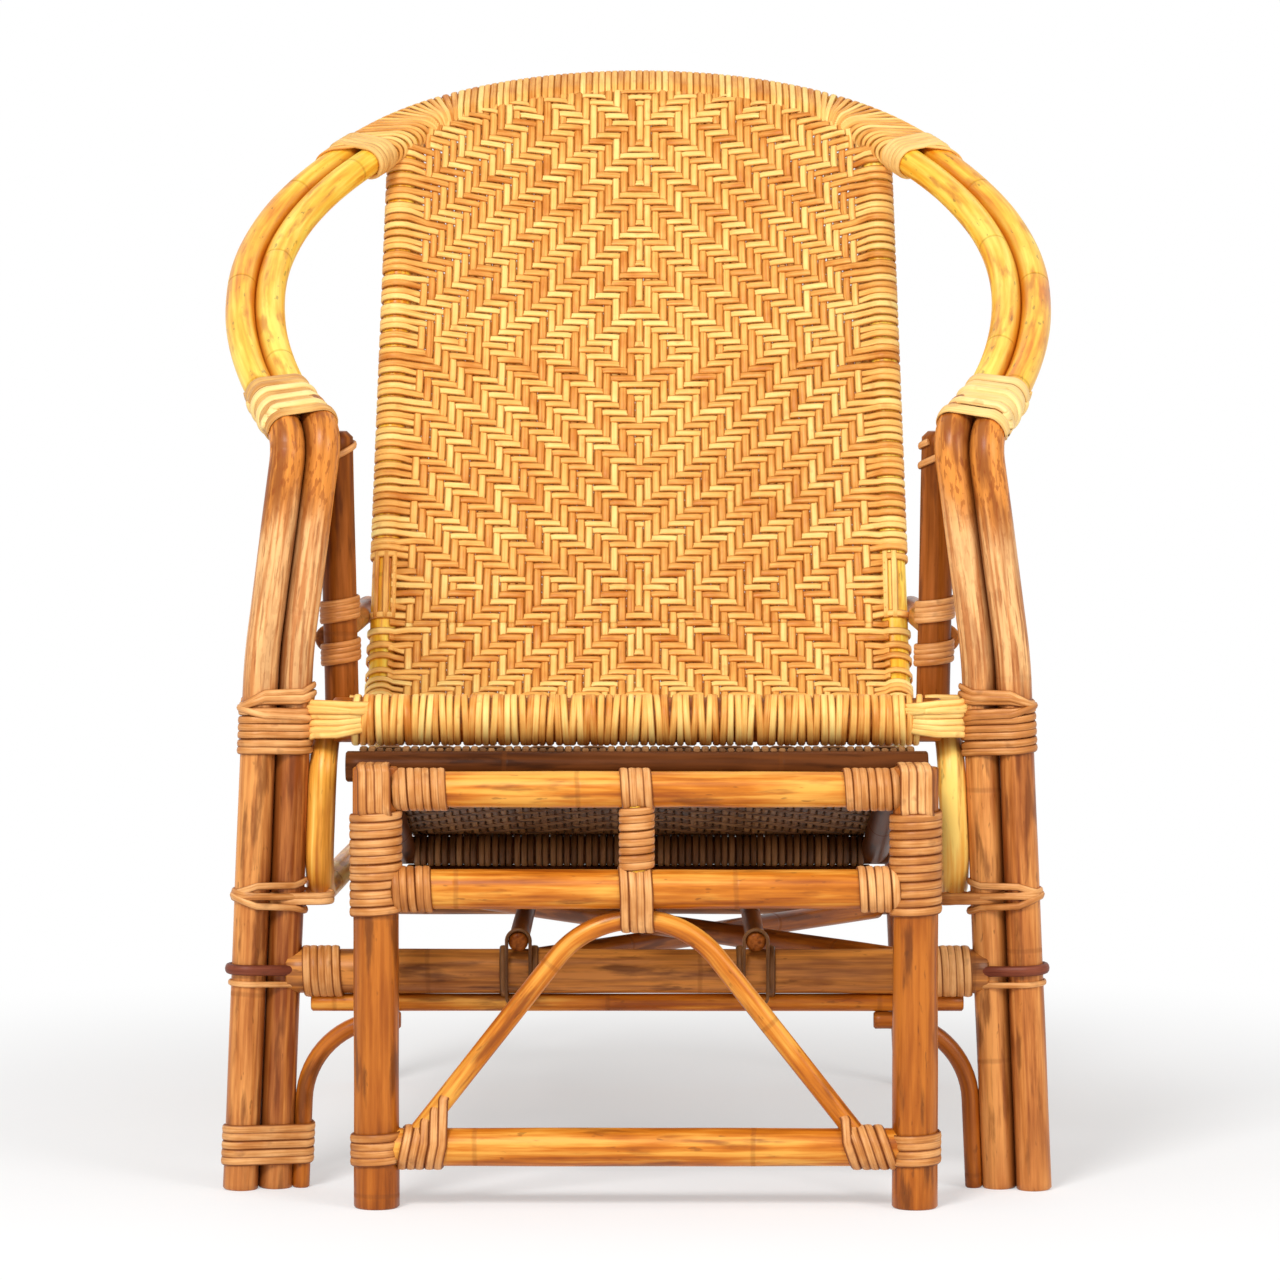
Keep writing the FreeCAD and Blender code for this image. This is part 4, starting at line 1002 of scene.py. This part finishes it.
legs = Strands(8)
up_legs(legs, 366.0, 46.0, 6, width=6.8, thick=3.4)
up_legs(legs, 404.0, 12.0, 1.2, fan=8.0)
for fan, thick in ((20.0, 3.6), (13.0, 4.4), (-9.0, 5.0)):
    up_legs(legs, 404.0, 9.0, 1.1, width=6.0, fan=fan, thick=thick)
bound(legs, "leg_windings", "leg_bindings")

crosses = Strands(8)
for low, fan, thick in ((247.0, 12.0, 2.8), (244.0, 3.0, 3.6), (246.0, -12.0, 4.4), (249.0, -4.0, 3.2)):
    up_legs(crosses, low, 8.0, 1.1, width=6.0, fan=fan, thick=thick)
bow_discs = [(twin_aside, frame_r), (twin_aside + bow_inset, bow_r)]
up_legs(crosses, 241.0, 14.0, 2, bow_discs, width=6.0, thick=2.4)
bound(crosses, "cross_windings", "leg_cross_lashings")

rings, pale_rings = Strands(12), Strands(8)
up_legs(rings, 182.0, 11.0, 1.1, width=9.0, thick=6.0)
bound(rings, "dark_rings", "leg_rings", ring_strand)
up_legs(pale_rings, 172.0, 7.0, 1.1, width=5.0)
bound(pale_rings, "pale_rings", "leg_rings")

left_foot = Strands(8)
foot_discs = [(mirror(c), r) for c, r in twin_discs + [(twin_aside + spandrel_inset, thin_r)]]
winding(left_foot, foot_discs, mirror(leg_at(18.0)), mirror(-lower_run), 42.0, 5, width=7.6)
bound(left_foot, "left_foot_winding", "foot_binding_left")

posts = Strands(8)
for low, length, turns, width, lean in (
    (440.0, 24.0, 4, 5.8, 1.5), (476.0, 24.0, 4, 5.8, 1.5), (608.0, 30.0, 1.4, 6.0, 5.0)
):
    both(posts, one_pole(frame_r), post_at(low), post_run, length, turns, width=width, lean=lean)
bound(posts, "post_windings", "post_lashings")

ends = Strands(8)
end_length = 38.0
both(ends, one_pole(stretcher_r), stretcher_end - (frame_r + end_length) * X, X, end_length, 5, width=7.6)
bound(ends, "stretcher_windings", "stretcher_bindings")
corners = Strands(8)
knot_discs = one_pole(bow_r) + [([-20.0, 0.0, 0.0], front_rail_r + 2.0)]
for low, length, turns, width, fan, thick in (
    (377.0, 42.0, 6, 6.2, (9.0, -5.0), 3.4), (400.0, 14.0, 2, 5.6, (4.0, -9.0), 5.6)
):
    place = [bow_top[0], front_rail_y, low]
    both(corners, knot_discs, place, Z, length, turns, width=width, fan=fan, thick=thick)
bound(corners, "corner_windings", "seat_corner_bindings", weave_strand)
runners = Strands(8)
for x in (83.0, 108.6):
    both(runners, one_pole(stretcher_r), [x, stretcher_end[1], stretcher_z], X, 8.4, 1.2)
loop_discs = one_pole(runner_r) + [([0.0, 0.0, -46.0], runner_r)]
loop_place = [runner_x, stretcher_end[1] - stretcher_r - 6.0, runner_z]
both(runners, loop_discs, loop_place, Y, 7.0, 1.1, width=6.6, facing=Z)
bound(runners, "runner_windings", "runner_lashings", shaded_strand)

# Bindings of the footrest
foot_legs, foot_ends, foot_post = Strands(8), Strands(8), Strands(8)
cap_discs = [([0.0, y, z], 4.6) for y in (-14.6, 14.6) for z in (-14.6, 14.6)]
for side in (1.0, -1.0):
    x = foot_leg_shift + side * foot_leg_half
    inward = -side * X
    for low, length, turns in ((240.0, 92.0, 12), (33.0, 33.0, 4)):
        winding(foot_legs, one_pole(foot_leg_r), [x, foot_y, low], Z, length, turns, width=7.8)
    winding(foot_legs, cap_discs, [x - 17.0, foot_y, foot_top_z], X, 34.0, 4, width=8.2, thick=2.4)
    for z, radius, length, turns in ((foot_top_z, foot_top_r, 52.0, 7), (foot_mid_z, foot_mid_r, 40.0, 5)):
        root = np.array([x, foot_y, z]) + (foot_leg_r - 9.0) * inward
        winding(foot_ends, one_pole(radius), root, inward, length, turns, width=7.2)
    root = np.array([x, foot_y, foot_low_z]) + (foot_leg_r - 3.0) * inward
    rise = (arch_foot_half - abs(root[0])) * arch_rise
    arch_foot = one_pole(foot_low_r) + [(rise * Z, arch_r)]
    winding(foot_ends, arch_foot, root, inward, 46.0, 5, width=8.4, lean=5.0 * side, drift=arch_rise * Z)
bound(foot_legs, "footrest_leg_windings", "footrest_leg_bindings")
bound(foot_ends, "footrest_rail_windings", "footrest_rail_bindings")
winding(foot_post, one_pole(foot_post_r), [0.0, foot_y, 277.0], Z, 59.0, 8)
winding(foot_post, one_pole(foot_top_r), [-16.0, foot_y, foot_top_z], X, 32.0, 4, width=7.6)
arch_head = one_pole(foot_mid_r) + [(-(foot_mid_r + arch_r) * Z, arch_r)]
winding(foot_post, arch_head, [-17.0, foot_y, foot_mid_z], X, 34.0, 4, width=8.0)
bound(foot_post, "footrest_post_windings", "footrest_post_bindings")

# Stage: a white floor that keeps the chair's shadow near it and runs out into an even white ground
white, floor_half = (1.0, 1.0, 1.0, 1.0), 12.0
f = Finish("studio_floor", {"Roughness": 0.9, "Specular IOR Level": 0.1})
place = f.node("TexCoord", output="Object")
far = f.node("VectorMath", {"operation": "LENGTH"}, {0: place}, "Value").smooth(0.4, 1.3)
colour = f.mix((246, 246, 246), (f.noise(place, 3.0), (250, 250, 250)))
f.feed(f.shader.inputs["Base Color"], colour)
ground = f.node("Emission", inputs={"Color": white, "Strength": 1.0})
lit, share = Value(f, f.shader.outputs[0]), f.seen_rays() * (0.4 + far * 0.6)
mixed = f.node("MixShader", inputs={0: share, 1: lit, 2: ground})
f.feed(f.tree.nodes["Material Output"].inputs[0], mixed)
corners = [(x * floor_half, y * floor_half, 0.0) for x, y in ((-1, -1), (1, -1), (1, 1), (-1, 1))]
mesh = bpy.data.meshes.new("studio_floor")
mesh.from_pydata(corners, [], [(0, 1, 2, 3)])
mesh.materials.append(f.material)
ground_sheet = bpy.data.objects.new("studio_floor", mesh)
scene.collection.objects.link(ground_sheet)


def lamp(name, place, target, size, power):
    """Round lamp at a place, turned to a target."""
    data = bpy.data.lights.new(name, "AREA")
    data.energy, data.size, data.shape = power, size, "DISK"
    obj = bpy.data.objects.new(name, data)
    scene.collection.objects.link(obj)
    obj.location = place
    aim = np.subtract(target, place)
    yaw = atan2(aim[0], -aim[1])
    fall = atan2(hypot(aim[0], aim[1]), -aim[2])
    obj.rotation_euler = (fall, 0.0, yaw + pi)


lamp("front_light", (-1.2, -3.4, 3.2), (0.0, 0.0, 0.6), 1.4, 130.0)
lamp("side_light", (2.4, -2.8, 2.2), (0.0, 0.0, 0.6), 1.6, 45.0)

world = bpy.data.worlds.new("studio")
scene.world = world
world.use_nodes = True
sky = Tree(world.node_tree)
light = world.node_tree.nodes["Background"]
sky.feed(light.inputs["Color"], white)
sky.feed(light.inputs["Strength"], 0.5)
ground = sky.node("Background", inputs={"Color": white, "Strength": 1.0})
layers = {0: sky.seen_rays(), 1: Value(sky, light.outputs[0]), 2: ground}
mixed = sky.node("MixShader", inputs=layers)
sky.feed(world.node_tree.nodes["World Output"].inputs[0], mixed)

camera_x, camera_fall, camera_yaw = 0.015, 2.89, 0.172
camera_data = bpy.data.cameras.new("camera")
camera_data.lens, camera_data.sensor_width = 140.57, 36.0
camera = bpy.data.objects.new("camera", camera_data)
scene.collection.objects.link(camera)
camera.location = (camera_x, frame_shift * metre - camera_reach, camera_z * metre)
camera.rotation_euler = (radians(90.0 - camera_fall), 0.0, radians(camera_yaw))
scene.camera = camera
scene.view_settings.view_transform = "Standard"
